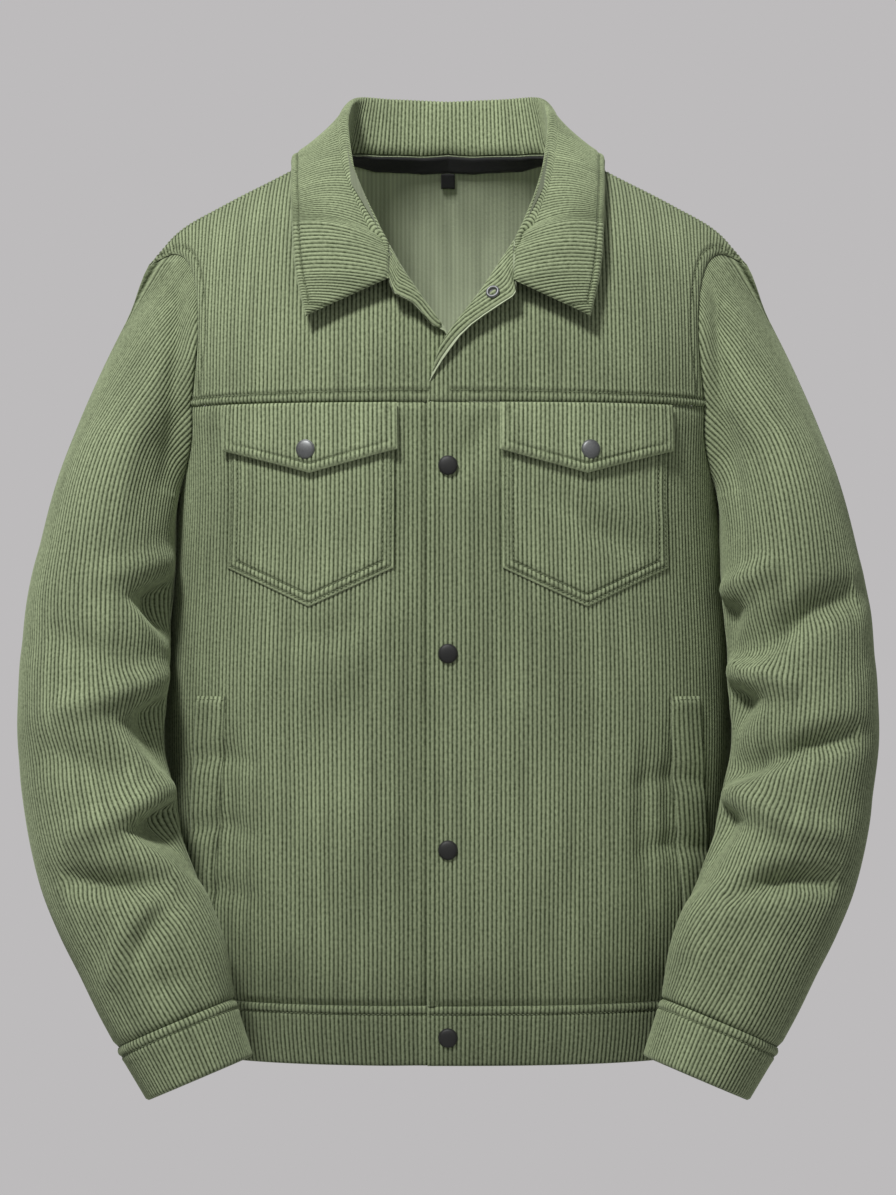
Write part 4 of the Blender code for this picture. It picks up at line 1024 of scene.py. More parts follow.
# The turned-out lapel at each of its rows: edge over the chest, start just inside the roll, roll line, bend.
def lapelLines(rises, side):
    table = opening[side]
    roll = yokeSurface(side)(rollAlong(rises, side), rises)
    height = roll[:, 2]
    edgeX = smooth(height, table["lapelHeight"], table["edgeX"])
    edgeZ = smooth(height, table["lapelHeight"], table["edgeZ"])
    edge = yokeSurface(side)(edgeX, riseAt(edgeX, edgeZ))
    edge[:, 1] -= smooth(height, table["lapelHeight"], table["edgeLift"])
    turned = ease((height - table["lapelHeight"][0]) / 0.03)
    none = 0 * turned
    bend = roll + np.stack([-0.0012 * turned, -0.5 * opening["rollDepth"] * turned, none], -1)
    start = roll + np.stack([0.0003 * turned, -opening["rollDepth"] * turned, none], -1)
    flat = (turned < 1e-6)[:, None]
    edge, start, bend = (np.where(flat, roll, line) for line in (edge, start, bend))
    return edge, start, roll, bend


# A grid of straight lines from each start to its edge point: length, share of it at each wale, and points.
def lapelGrid(edge, start):
    length = np.linalg.norm(edge - start, axis=1)[:, None]
    inward = waleColumns(0.0, float(length.max()))
    share = 1 - np.clip(inward[None], 0, length) / np.maximum(length, 1e-9)
    return length, share, start[:, None] + (edge - start)[:, None] * share[..., None]


# Level v at which the roll line ends above.
def rollTopRise(side):
    table = opening[side]
    return float(riseAt(np.interp(table["rollTop"], table["height"], table["along"]), table["rollTop"]))


# An upper front: the rise from the front edge or roll line to the armhole, with its lapel turned out.
def makeYoke(side):
    surface = yokeSurface(side)
    topRow = rollTopRise(side)
    tall = yokeSize["tall"]
    below = sewnSteps(0.0, topRow * tall, (yokeSize["stitchIn"],), yokeSize["rowStep"]) / tall
    above = sewnSteps(topRow * tall, tall, (), yokeSize["rowStep"])[1:] / tall
    rises = np.concatenate([below, above])
    left = rollAlong(rises, side)[:, None]
    right = armholeLimit(rises, "front")[:, None]
    columns = waleColumns(float(left.min()), float(right.max()))[None]
    s = np.clip(columns, left, right)
    v = rises[:, None] + 0 * s
    points, normals = onSurface(surface, s, v)
    climb = stepsAlong(surface(np.full(len(rises), yokeSize["measuredAt"]), rises))[:, None]
    band = np.sin(math.pi * np.clip(climb / yokeSize["stitchIn"], 0, 1)) ** 0.6 * ease((s - left) / 0.003)
    points = points + normals * (yokeSize["band"] * band)[..., None]
    seam = np.full(60, np.interp(yokeSize["stitchIn"], climb[:, 0], rises))
    lines = [sewAlong(*onSurface(surface, np.linspace(0.002, float(right[0, 0]) - 0.002, 60), seam), side)]
    lines.append(sewAlong(*onSurface(surface, right[3:-3, 0] - yokeSize["armholeStitch"], rises[3:-3]), side))
    base = patch(sided(points, side), s, climb, lines=lines)
    base["masks"]["first"][: len(below) - 1] = False
    edge, start, roll, bend = lapelLines(below, side)
    length, share, lapel = lapelGrid(edge, start)
    roll, bend = roll[:, None], bend[:, None]
    lapel = np.concatenate([lapel, bend, bend * 0.5 + roll * 0.5, roll, roll], 1)
    across = np.concatenate([(1 - share) * length, length + np.array([0.001, 0.002, 0.003, 0.003])], 1)
    turn = patch(sided(lapel, side), across, climb[: len(below)], cut=("end", "first"), rolled=("first",))
    for grid in (base, turn):
        grid["joins"] = [sided(roll[:, 0], side)]
    node = "front_yoke_" + side
    sewSheet("yoke_" + side, [base, turn], bodyCloth, node=node, flip=side == "right", edge=(0.0005, 0.0009))


# The facing lies on the turned-out lapel, a little fuller in its middle.
def makeFacing(side):
    edge, start, roll = lapelLines(np.linspace(0.0, rollTopRise(side), 60), side)[:3]
    keep = roll[:, 2] > opening[side]["lapelHeight"][0] + facingSize["clear"]
    edge, start = edge[keep], start[keep]
    length, share, grid = lapelGrid(edge, start)
    away = unit(np.cross(edge[-1] - start[-1], edge[0] - edge[-1]))
    away = away * (-1 if away[1] > 0 else 1)
    puff = facingSize["puff"] * np.sin(math.pi * np.clip(share, 0, 1))[..., None]
    grid = grid + away * (facingSize["lift"] + puff)
    inset = min(facingSize["stitchIn"], float(length.max()) / 3)
    stitch = edge + (start - edge) * np.minimum(inset / length, 0.5) + away * facingSize["stitchLift"]
    stitch = stitch[length[:, 0] > facingSize["least"]]
    lines = []
    if len(stitch) > 3:
        lines = [sewAlong(stitch, np.tile(away, (len(stitch), 1)), side)]
    made = patch(sided(grid, side), (1 - share) * length, stepsAlong(edge)[:, None], lines=lines)
    name = "facing_" + side
    sewSheet(name, [made], litCollarCloth, "collar_corduroy", flip=side == "left", edge=(0.0004, 0.0012))


for side in ("left", "right"):
    makeYoke(side)
    makeFacing(side)


# Back.
backSize = {
    "rowStep": 0.0098,
    "neckRows": np.array([0.0015, 0.004, 0.008, 0.014, 0.022, 0.033, 0.046]),  # above the neck's lowest point
    "tall": (0.24, 0.28),  # metres of cloth to one level below that point and above it
    "measuredAt": 0.10,
    "seamLevel": 0.975,
}


# The back at height t below the shoulders, and past body["narrow"] at level t - narrow of rise().
def backSurface(s, t):
    lower = section(s, np.minimum(t, body["narrow"]), "back")
    upper = rise(s, np.clip(t - body["narrow"], 0, 1), "back")
    return np.where((t > body["narrow"])[..., None], upper, lower)


# Cloth from the centre line to the neck at level v, 0 below it.
def neckLimit(v):
    return np.interp(v, backNeck["rise"], backNeck["along"], left=0.0)


# The back in two mirrored halves, joined at the centre line below the neck.
def makeBack():
    z = panelRows(body["narrow"], 0.0245, backSize["rowStep"])
    neck = backNeck["rise"][0]
    low, high = backSize["tall"]
    v = [evenSteps(0.0, neck, backSize["rowStep"] / low)[1:], neck + backSize["neckRows"]]
    v = np.concatenate(v + [evenSteps(neck + 0.06, 1.0, backSize["rowStep"] / high)])
    limit = np.concatenate([scoopLimit(z, "back"), armholeLimit(v, "back")])[:, None]
    inner = np.concatenate([np.zeros(len(z)), neckLimit(v)])[:, None]
    level = np.concatenate([z, body["narrow"] + v])[:, None]
    s = np.clip(waleColumns(0.0, float(limit.max()))[None], inner, limit)
    points = backSurface(s, level + 0 * s)
    climb = stepsAlong(backSurface(np.full(len(level), backSize["measuredAt"]), level[:, 0]))[:, None] + 0 * s
    neckOpen = inner[:-1, 0] + inner[1:, 0] >= 1e-9
    seam = np.linspace(body["neckAlong"] + 0.004, body["shoulderAlong"] - 0.004, 60)
    seam = onSurface(backSurface, seam, np.full(60, body["narrow"] + backSize["seamLevel"]), -1)
    halves = []
    for side in ("left", "right"):
        turn = slice(None, None, 1 if side == "left" else -1)
        across = s if side == "left" else -s
        lines = [sewAlong(*seam, side)]
        grid = patch(sided(points, side)[:, turn], across[:, turn], climb[:, turn], lines=lines)
        grid["masks"]["first" if side == "left" else "last"][:] = neckOpen
        halves.append(grid)
    sewSheet("back", halves, bodyCloth, flip=True)


makeBack()

# Sleeves and cuffs.
sleeve = {
    "sections": [  # outer x and z, inner x and z, middle y, half depth, from the shoulder down
        (0.2253, -0.0800, 0.1500, -0.1500, -0.012, 0.0550),
        (0.2422, -0.1180, 0.1600, -0.1760, -0.008, 0.0640),
        (0.2622, -0.1630, 0.1760, -0.2050, -0.008, 0.0730),
        (0.2813, -0.2136, 0.1940, -0.2380, -0.018, 0.0800),
        (0.2957, -0.2633, 0.2020, -0.2720, -0.036, 0.0800),
        (0.3043, -0.3007, 0.2035, -0.3000, -0.048, 0.0760),
        (0.3120, -0.3426, 0.2060, -0.3370, -0.060, 0.0710),
        (0.3152, -0.4066, 0.2090, -0.3980, -0.077, 0.0650),
        (0.3150, -0.4421, 0.2105, -0.4360, -0.087, 0.0620),
        (0.3093, -0.4816, 0.2020, -0.4700, -0.099, 0.0590),
        (0.3011, -0.5203, 0.1960, -0.5050, -0.111, 0.0560),
        (0.2915, -0.5507, 0.1835, -0.5340, -0.121, 0.0530),
        (0.2789, -0.5780, 0.1730, -0.5570, -0.129, 0.0500),
        (0.2643, -0.6052, 0.1625, -0.5850, -0.135, 0.0470),
        (0.2493, -0.6351, 0.1570, -0.6090, -0.139, 0.0455),
        (0.2371, -0.6571, 0.1548, -0.6219, -0.141, 0.0445),
    ],
    "capBlend": 0.11,  # the head's fit to the armhole fades over this length, its unevenness over nearFit
    "nearFit": 0.045,
    "capRows": 24,
    "rowStep": 0.0046,
    "softFolds": 0.4,
    "creased": (-0.02, 0.42),  # from this sine of the angle the creases set in, over this much of it
}
cuffEnd = {
    "outer": (0.2145, -0.147, -0.6935), "inner": (0.1414, -0.147, -0.6622), "halfDepth": 0.040,
    "stitchIn": 0.0066, "swell": 0.0006, "wall": 0.0022,
}
# Soft folds at the elbow: height at the inner side, climb to the outer side, depth, width above and below.
folds = {
    "right": [
        (-0.352, 0.060, 0.013, 0.026, 0.012),
        (-0.462, 0.110, 0.017, 0.034, 0.013),
        (-0.534, 0.100, 0.012, 0.030, 0.012),
    ],
    "left": [
        (-0.372, 0.075, 0.012, 0.030, 0.013),
        (-0.470, 0.110, 0.018, 0.034, 0.013),
        (-0.545, 0.090, 0.013, 0.028, 0.012),
    ],
}
outX, outZ, inX, inZ, middleY, halfDepth = np.array(sleeve["sections"]).T
sleeveOut, sleeveIn = np.stack([outX, 0 * outX, outZ], -1), np.stack([inX, 0 * inX, inZ], -1)
sleeveMiddle = (sleeveOut + sleeveIn) / 2 + np.array([0, 1.0, 0]) * middleY[:, None]
sleeveReach = (sleeveOut - sleeveIn) / 2
sleeveAlong = stepsAlong(sleeveMiddle)
sleeveLength = float(sleeveAlong[-1])


# Middle, sideways vector, forward direction and half-depth of the section w metres down the sleeve.
def sleeveFrame(w):
    w = np.asarray(w, float)
    middle = pointsAt(w, sleeveAlong, sleeveMiddle, smooth)
    reach = pointsAt(w, sleeveAlong, sleeveReach, smooth)
    ahead = pointsAt(w + 0.004, sleeveAlong, sleeveMiddle, smooth)
    behind = pointsAt(w - 0.004, sleeveAlong, sleeveMiddle, smooth)
    forward = unit(np.cross(reach, ahead - behind))
    forward *= np.where(forward[..., 1:2] > 0, -1, 1)
    return middle, reach, forward, smooth(w, sleeveAlong, halfDepth)


# The soft folds' push outwards: bells along the sleeve that climb round it, deepest at the front inner side.
def sleeveFold(angle, w, side):
    inward = (1 - np.cos(angle)) / 2
    share = 0.16 + 0.84 * ease((inward - 0.50) / 0.42) * ease((np.sin(angle) + 0.15) / 0.45)
    push = 0 * w
    for height, climb, depth, above, below in folds[side]:
        end = np.interp(-height, -inZ, sleeveAlong)
        away = w - (end - climb * (1 - inward))
        push = push - depth * share * bell(away, np.where(away < 0, above, below))
    fuller = 0.004 * share * ease((w - 0.20) / 0.06) * (1 - ease((w - 0.50) / 0.08))
    return push * sleeve["softFolds"] + fuller


# Sharp creases of the bent arms as seen from the front, on (x, height): crests and troughs, as for the pulls.
creases = {
    "right": [
        ([(0.1939, -0.3027), (0.2140, -0.3077), (0.2355, -0.3142), (0.2606, -0.3178)], 0.0055, 0.0100),
        ([(0.2025, -0.3874), (0.2499, -0.4061), (0.2858, -0.4147)], 0.0075, 0.0095),
        ([(0.2010, -0.4664), (0.2412, -0.4923), (0.2743, -0.5066)], 0.0075, 0.0095),
        ([(0.2894, -0.3558), (0.2570, -0.3702), (0.2176, -0.3831)], -0.0055, 0.0130),
        ([(0.2965, -0.4406), (0.2642, -0.4492), (0.2283, -0.4621)], -0.0070, 0.0130),
        ([(0.2786, -0.5325), (0.2412, -0.5353), (0.1960, -0.5382)], -0.0140, 0.0095),
        ([(0.2412, -0.6107), (0.2283, -0.5748), (0.2125, -0.5447)], 0.0055, 0.0090),
        ([(0.1888, -0.5440), (0.2125, -0.5676), (0.2283, -0.5913)], -0.0060, 0.0080),
        ([(0.2140, -0.6107), (0.1852, -0.6014)], -0.0030, 0.0080),
        ([(0.2330, -0.1500), (0.2480, -0.2000), (0.2560, -0.2500)], -0.0020, 0.0120),
        ([(0.2080, -0.1850), (0.2200, -0.2350), (0.2250, -0.2800)], -0.0026, 0.0090),
        ([(0.2230, -0.1020), (0.2060, -0.1450), (0.2000, -0.1950), (0.2080, -0.2550)], -0.0070, 0.0085),
    ],
    "left": [
        ([(0.1996, -0.3329), (0.2140, -0.3257), (0.2398, -0.3070)], 0.0085, 0.0090),
        ([(0.2025, -0.3846), (0.2276, -0.3874), (0.2542, -0.3989)], 0.0085, 0.0090),
        ([(0.1953, -0.4635), (0.2183, -0.4786), (0.2427, -0.4958), (0.2800, -0.5037)], 0.0085, 0.0090),
        ([(0.2132, -0.3802), (0.2384, -0.3573), (0.2635, -0.3393), (0.2987, -0.3286)], -0.0180, 0.0120),
        ([(0.1996, -0.4650), (0.2240, -0.4506), (0.2527, -0.4384), (0.2987, -0.4298)], -0.0170, 0.0092),
        ([(0.1967, -0.5468), (0.2183, -0.5353), (0.2470, -0.5310), (0.2800, -0.5353)], -0.0170, 0.0092),
        ([(0.1809, -0.5712), (0.2240, -0.5676), (0.2527, -0.5784)], -0.0020, 0.0120),
        ([(0.1845, -0.5533), (0.1738, -0.5928)], 0.0030, 0.0100),
        ([(0.2200, -0.1600), (0.2300, -0.2100), (0.2330, -0.2600)], -0.0020, 0.0120),
        ([(0.2050, -0.1950), (0.2120, -0.2450), (0.2150, -0.2900)], -0.0030, 0.0090),
        ([(0.2230, -0.1020), (0.2060, -0.1450), (0.2000, -0.1950), (0.2080, -0.2550)], -0.0090, 0.0085),
    ],
}
# Tucks at the inner side, under a crest: x, upper line, lower line. The two lines part towards the body.
tucks = {
    "right": [
        ((0.1939, -0.3099, -0.4004), (0.2097, -0.3155, -0.3741),
         (0.2254, -0.3222, -0.3520), (0.2412, -0.3293, -0.3307)),
        ((0.1982, -0.3946, -0.4722), (0.2130, -0.4013, -0.4560),
         (0.2279, -0.4106, -0.4389), (0.2427, -0.4212, -0.4226)),
        ((0.1838, -0.4729, -0.5310), (0.2029, -0.4774, -0.5211),
         (0.2221, -0.4878, -0.5092), (0.2412, -0.5009, -0.5023)),
    ],
    "left": [
        ((0.1967, -0.3321, -0.3889), (0.2063, -0.3321, -0.3771),
         (0.2159, -0.3330, -0.3545), (0.2255, -0.3343, -0.3357)),
        ((0.1989, -0.3917, -0.4549), (0.2125, -0.3930, -0.4392),
         (0.2262, -0.3970, -0.4254), (0.2398, -0.4075, -0.4090)),
        ((0.1896, -0.4750, -0.5353), (0.2016, -0.4782, -0.5219),
         (0.2135, -0.4865, -0.5120), (0.2255, -0.4966, -0.4994)),
    ],
    "depth": 0.022,
    "reach": 0.042,
}


# How far the tucks draw the cloth in: a steep drop below the upper line and a slow return at the lower one.
def tuckedIn(side, x, z):
    total = 0 * x
    for tuck in tucks[side]:
        places, top, low = np.array(tuck).T
        upper, lower = np.interp(x, places, top), np.interp(x, places, low)
        down = (upper - z) / np.maximum(upper - lower, 1e-4)
        depth = tucks["depth"] * ease((places[-1] - x) / tucks["reach"])
        total = total - depth * ease(down / 0.24) * (1 - ease((down - 0.30) / 0.70))
    return total


# Ellipse sections along the middle line: angle 0 outer, pi/2 front, pi inner side.
def sleeveTube(angle, w, side):
    middle, reach, forward, depth = sleeveFrame(w)
    push = sleeveFold(angle, w, side)
    radial = unit(unit(reach) * np.cos(angle)[..., None] + forward * np.sin(angle)[..., None])
    ring = middle + reach * np.cos(angle)[..., None] + forward * (depth * np.sin(angle))[..., None]
    sharp = pulledBy(creases[side], ring[..., 0], ring[..., 2]) + tuckedIn(side, ring[..., 0], ring[..., 2])
    begin, fade = sleeve["creased"]
    return ring + radial * (push + sharp * ease((np.sin(angle) - begin) / fade))[..., None]


# The angle that lies d metres of cloth from the outer line at w, from a table of ellipse arc lengths.
wraps = np.linspace(0, sleeveLength, 90)  # distances down the sleeve, the table's rows
wrapAngles = np.linspace(0, math.pi, 361)
wrapReach, wrapDepth = sleeveFrame(wraps)[1], sleeveFrame(wraps)[3]
wrapRings = np.hypot(
    np.diff(np.linalg.norm(wrapReach, axis=1)[:, None] * np.cos(wrapAngles)),
    np.diff(wrapDepth[:, None] * np.sin(wrapAngles)),
)
wrapArcs = np.concatenate([np.zeros((90, 1)), np.cumsum(wrapRings, axis=1)], axis=1)
halfRound = wrapArcs[:, -1]
# Above the widest section the wales spread from the sleeve head at even angles.
widest = int(halfRound.argmax())
spread = np.where(np.arange(90) < widest, halfRound / halfRound.max(), 1.0)
wrapDistances = np.linspace(0, float(halfRound.max()), 500)
wrapTable = [np.interp(wrapDistances * narrow, arcs, wrapAngles) for arcs, narrow in zip(wrapArcs, spread)]
wrapTable = np.stack(wrapTable)
wrapLimit = halfRound / spread


# Values of a grid at fractional rows and columns, straight between neighbours.
def sampled(grid, rows, columns):
    rows, columns = np.clip(rows, 0, grid.shape[0] - 1.001), np.clip(columns, 0, grid.shape[1] - 1.001)
    r, c = rows.astype(int), columns.astype(int)
    fr, fc = (part.reshape(part.shape + (1,) * (grid.ndim - 2)) for part in (rows - r, columns - c))
    low = grid[r, c] * (1 - fc) + grid[r, c + 1] * fc
    high = grid[r + 1, c] * (1 - fc) + grid[r + 1, c + 1] * fc
    return low * (1 - fr) + high * fr


# The table's angle at d and w, and half a turn at the seam.
def wrapAngle(d, w):
    angle = sampled(wrapTable, w / sleeveLength * 89, np.abs(d) / wrapDistances[-1] * 499)
    angle = np.where(np.abs(d) >= np.interp(w, wraps, wrapLimit) - 1e-9, math.pi, angle)
    return angle * np.where(d < 0, -1, 1)


# The armhole seam from the shoulder tip down the front, under the arm and up the back.
def armholeLine(side):
    v = np.linspace(1, 0, 40)
    front = yokeSurface(side)(armholeLimit(v, "front"), v)
    z = body["yoke"] + (body["underarm"] - body["yoke"]) * np.linspace(0, 1, 41)[1:] ** 0.7
    scoop = frontSurface(side)(scoopLimit(z, "front"), z)
    z = body["narrow"] + (body["underarm"] - body["narrow"]) * np.linspace(1, 0, 41)[1:-1] ** 0.7
    rear = section(scoopLimit(z, "back"), z, "back")
    v = np.linspace(0, 1, 41)[:-1]
    return np.concatenate([front, scoop, rear, rise(armholeLimit(v, "back"), v, "back")])


# Angle and distance down the sleeve of each armhole point, by the section plane that it lies in.
def onSleeve(points):
    w = np.linspace(0, 0.30, 601)
    middle, reach, forward, depth = sleeveFrame(w)
    step = unit(np.gradient(middle, axis=0))
    offset = points[:, None] - middle[None]
    best = np.abs((offset * step).sum(-1)).argmin(axis=1)
    offset = offset[np.arange(len(points)), best]
    across = (offset * unit(reach[best])).sum(-1) / np.linalg.norm(reach[best], axis=-1)
    ahead = (offset * forward[best]).sum(-1) / depth[best]
    return np.unwrap(np.arctan2(ahead, across)), w[best]


# Averages each value with its neighbours, a quarter of each, so many times.
def blurred(values, times):
    for _ in range(times):
        values = (np.roll(values, 1, axis=0) + 2 * values + np.roll(values, -1, axis=0)) / 4
    return values


def makeSleeve(side):
    line = armholeLine(side)
    angle, start = onSleeve(line)
    order = np.argsort(np.mod(angle, 2 * math.pi))
    turned = np.mod(angle, 2 * math.pi)[order]
    begin = blurred(start[order], 2)
    shift = line[order] - sleeveTube(turned, begin, side)
    even = blurred(shift, 30)

    def around(values, at):
        return np.interp(np.mod(at, 2 * math.pi), turned, values, period=2 * math.pi)

    full = float(start.max()) + 0.03
    shares = np.linspace(0, 1, sleeve["capRows"] + 1)[:-1][:, None]
    rest = evenSteps(full, sleeveLength, sleeve["rowStep"])[:, None]
    half = float(halfRound.max())
    columns = waleColumns(-half, half)[None]
    w = np.concatenate([full * shares + 0 * columns, rest + 0 * columns])
    fixed = np.concatenate([shares, np.ones(rest.shape)])
    for _ in range(5):
        limit = np.interp(w, wraps, wrapLimit)
        d = np.clip(columns, -limit, limit)
        turn = wrapAngle(d, w)
        first = around(begin, turn)
        w = np.where(fixed < 1, first + (full - first) * fixed, np.concatenate([shares * 0, rest]))
    points = sleeveTube(turn, w, side)
    far = ((1 - np.clip((w - first) / sleeve["capBlend"], 0, 1)) ** 2)[..., None]
    near = (1 - ease((w - first) / sleeve["nearFit"]))[..., None]
    for values, fade in ((even, far), (shift - even, near)):
        points = points + np.stack([around(values[:, k], turn) for k in range(3)], -1) * fade
    grid = patch(sided(points, side), d, w, cut=("start", "end"), lines=[sided(points[20:, 0], side)])
    sewSheet("sleeve_" + side, [grid], bodyCloth, flip=side == "right", edge=(0.0012, 0.002))
    return points[-1], turn[-1], d[-1]


# Straight lines from the sleeve's last ring to the cuff's end, an ellipse, with the cloth a little swollen.
def makeCuff(side, top, turn, d):
    outer, inner = np.array(cuffEnd["outer"]), np.array(cuffEnd["inner"])
    ahead = sleeveFrame(np.array(sleeveLength))[2]
    end = np.outer(np.cos(turn), (outer - inner) / 2) + np.outer(np.sin(turn) * cuffEnd["halfDepth"], ahead)
    end = end + (outer + inner) / 2
    length = float(np.linalg.norm(end - top, axis=1).mean())
    inset = cuffEnd["stitchIn"]
    shares = (sewnSteps(0.0, length, (inset,)) / length)[:, None, None]
    points = top + (end - top) * shares
    points = points + unit(points - points.mean(axis=1, keepdims=True)) * cuffEnd["swell"]
    ring = (top + (end - top) * inset / length)[::6]
    outward = unit(ring - ring.mean(axis=0))
    lines = [sewAlong(ring + outward * cuffEnd["swell"], outward, side)]
    grid = patch(sided(points, side), d[None], shares[..., 0] * length, cut=("start", "end"), lines=lines)
    look = {"flip": side == "right", "edge": (0.0007, 0.0010), "wall": cuffEnd["wall"]}
    sewSheet("cuff_" + side, [grid], bodyCloth, **look)


for side in ("left", "right"):
    makeCuff(side, *makeSleeve(side))

# Hem band.
hemSize = {"rowStep": 0.0044, "stitchBelow": 0.0062, "swell": 0.0007}


# The band at u metres of cloth from the centre front, round the wearer's left side, the back and the right.
def hemSurface(u, z):
    ahead, behind = (quarterLength(body["hemSeam"], side) for side in ("front", "back"))
    last = 2 * ahead + 2 * behind - u
    left = section(np.minimum(u, ahead) / ahead * quarterLength(z, "front"), z, "front")
    s = np.clip(ahead + behind - u, -behind, behind) / behind * quarterLength(z, "back")
    rear = section(s, z, "back")
    s = np.minimum(last, ahead) / ahead * quarterLength(z, "front")
    right = sided(underlap(section(s, z, "front"), s, "right"), "right")
    first = np.where((u < ahead)[..., None], left, rear)
    return np.where((last < ahead)[..., None], right, first)


def makeHem():
    total = 2 * quarterLength(body["hemSeam"], "front") + 2 * quarterLength(body["hemSeam"], "back")
    ends = (-body["frontOverlap"], float(total) + body["frontOverlap"])
    u = np.clip(waleColumns(*ends), *ends)[None]
    stitch = body["hemSeam"] - hemSize["stitchBelow"]
    z = sewnSteps(body["hem"], body["hemSeam"], (stitch,), hemSize["rowStep"])[:, None]
    points, normals = onSurface(hemSurface, u, z)
    tall = (z - body["hem"]) / (body["hemSeam"] - body["hem"])
    above = ease((z - stitch) / 0.0015)  # the band is fuller above its stitches
    swell = hemSize["swell"] * (np.sin(math.pi * tall) ** 0.7 + above * np.sin(math.pi * tall) ** 0.3)
    points = points + normals * swell[..., None]
    along = np.linspace(ends[0] + 0.004, ends[1] - 0.004, 500)
    lines = [sewAlong(*onSurface(hemSurface, along, np.full(500, stitch)), "left", 0.0006)]
    grid = patch(points, u, z - body["hem"], lines=lines)
    sewSheet("hem_band", [grid], shadedHemCloth, "hem_corduroy", edge=(0.0006, 0.0010))


makeHem()


# Stations: 0 centre back, 1 shoulder-neck point, 2 top of the roll line, 3 end of the gorge, 4 point.
collarFold = {
    "station": [0.0, 0.35, 0.68, 1.0, 1.33, 1.62, 1.85, 2.0],
    "x": [0.0, 0.043, 0.0705, 0.0755, 0.0735, 0.069, 0.061, 0.0495],
    "y": [0.083, 0.079, 0.056, 0.004, -0.030, -0.055, -0.078, -0.102],
    "z": [0.0565, 0.058, 0.0555, 0.036, 0.010, -0.015, -0.042, -0.070],
}
collarEdge = {
    "station": [0.0, 0.35, 0.68, 1.0, 1.33, 1.62, 2.0, 3.0, 4.0],
    "x": [0.0, 0.052, 0.093, 0.117, 0.1185, 0.1175, 0.1155, 0.1115, 0.1037],
    "y": [0.104, 0.100, 0.071, 0.012, -0.028, -0.060, -0.087, -0.112, -0.127],
    "z": [-0.006, -0.008, -0.004, 0.003, -0.010, -0.031, -0.058, -0.096, -0.1284],
}
collarBow = {  # how far the leaf bows out between fold and edge
    "station": [0.0, 0.35, 0.68, 1.0, 1.33, 1.62, 2.0],
    "bow": [0.006, 0.004, 0.0005, 0.0, 0.002, 0.005, 0.009],
}
# "leaf" is the length that the leaf's rows are spaced for; the last "nearEdge" of it keeps its true size.
collarSize = {
    "lift": 0.0016, "foldRadius": 0.004, "least": 0.0019, "stitchIn": 0.0062, "insideLine": 0.0078,
    "closing": 0.35, "leaf": 0.070, "nearEdge": 0.012, "rowStep": 0.0056, "wall": 0.0022,
}
# Where the collar meets the roll line's top and the gorge's two ends, beside the lapel's own points.
collarMeets = {
    "roll": np.array([0.0004, -0.0062, 0.0020]),
    "gorgeTop": np.array([-0.0006, -0.0034, 0.0010]),
    "gorgeEnd": np.array([-0.0010, -0.0034, 0.0005]),
}
standShares = np.linspace(0, 1, 6)
foldTurns = np.radians(np.arange(1, 10) * 20)
leafStitch = (collarSize["leaf"] - collarSize["stitchIn"],)
leafSteps = collarSize["leaf"] - sewnSteps(0.0, collarSize["leaf"], leafStitch, collarSize["rowStep"])[1:]
leafRow = int(np.abs(leafSteps - collarSize["stitchIn"]).argmin())


# Neck seam on the panels: points, outward directions, and station of each.
def neckSeam(side):
    s = np.linspace(0, body["neckAlong"], 90)
    level = body["narrow"] + np.interp(s, backNeck["along"], backNeck["rise"])
    behind, back = onSurface(backSurface, s, level, -1)
    v = np.linspace(1, rollTopRise(side), 70)
    ahead, out = onSurface(yokeSurface(side), rollAlong(v, side), v)
    first, second = stepsAlong(behind), stepsAlong(ahead)
    stations = np.concatenate([first / first[-1], 1 + second[1:] / second[-1]])
    return np.concatenate([behind, ahead[1:]]), np.concatenate([back, out[1:]]), stations


# Inner border of the leaf past the roll line: down the gorge seam, then along the front edge to the point.
def innerBorder(t, side):
    edge, start = lapelLines(np.array([0.0, rollTopRise(side)]), side)[:2]
    top, end = start[-1] + collarMeets["gorgeTop"], edge[-1] + collarMeets["gorgeEnd"]
    point = place(collarEdge, np.array(4.0), "station")
    gorge = top + (end - top) * np.clip(t - 2, 0, 1)[:, None]
    front = end + (point - end) * np.clip(t - 3, 0, 1)[:, None]
    return np.where((t > 3)[:, None], front, gorge)


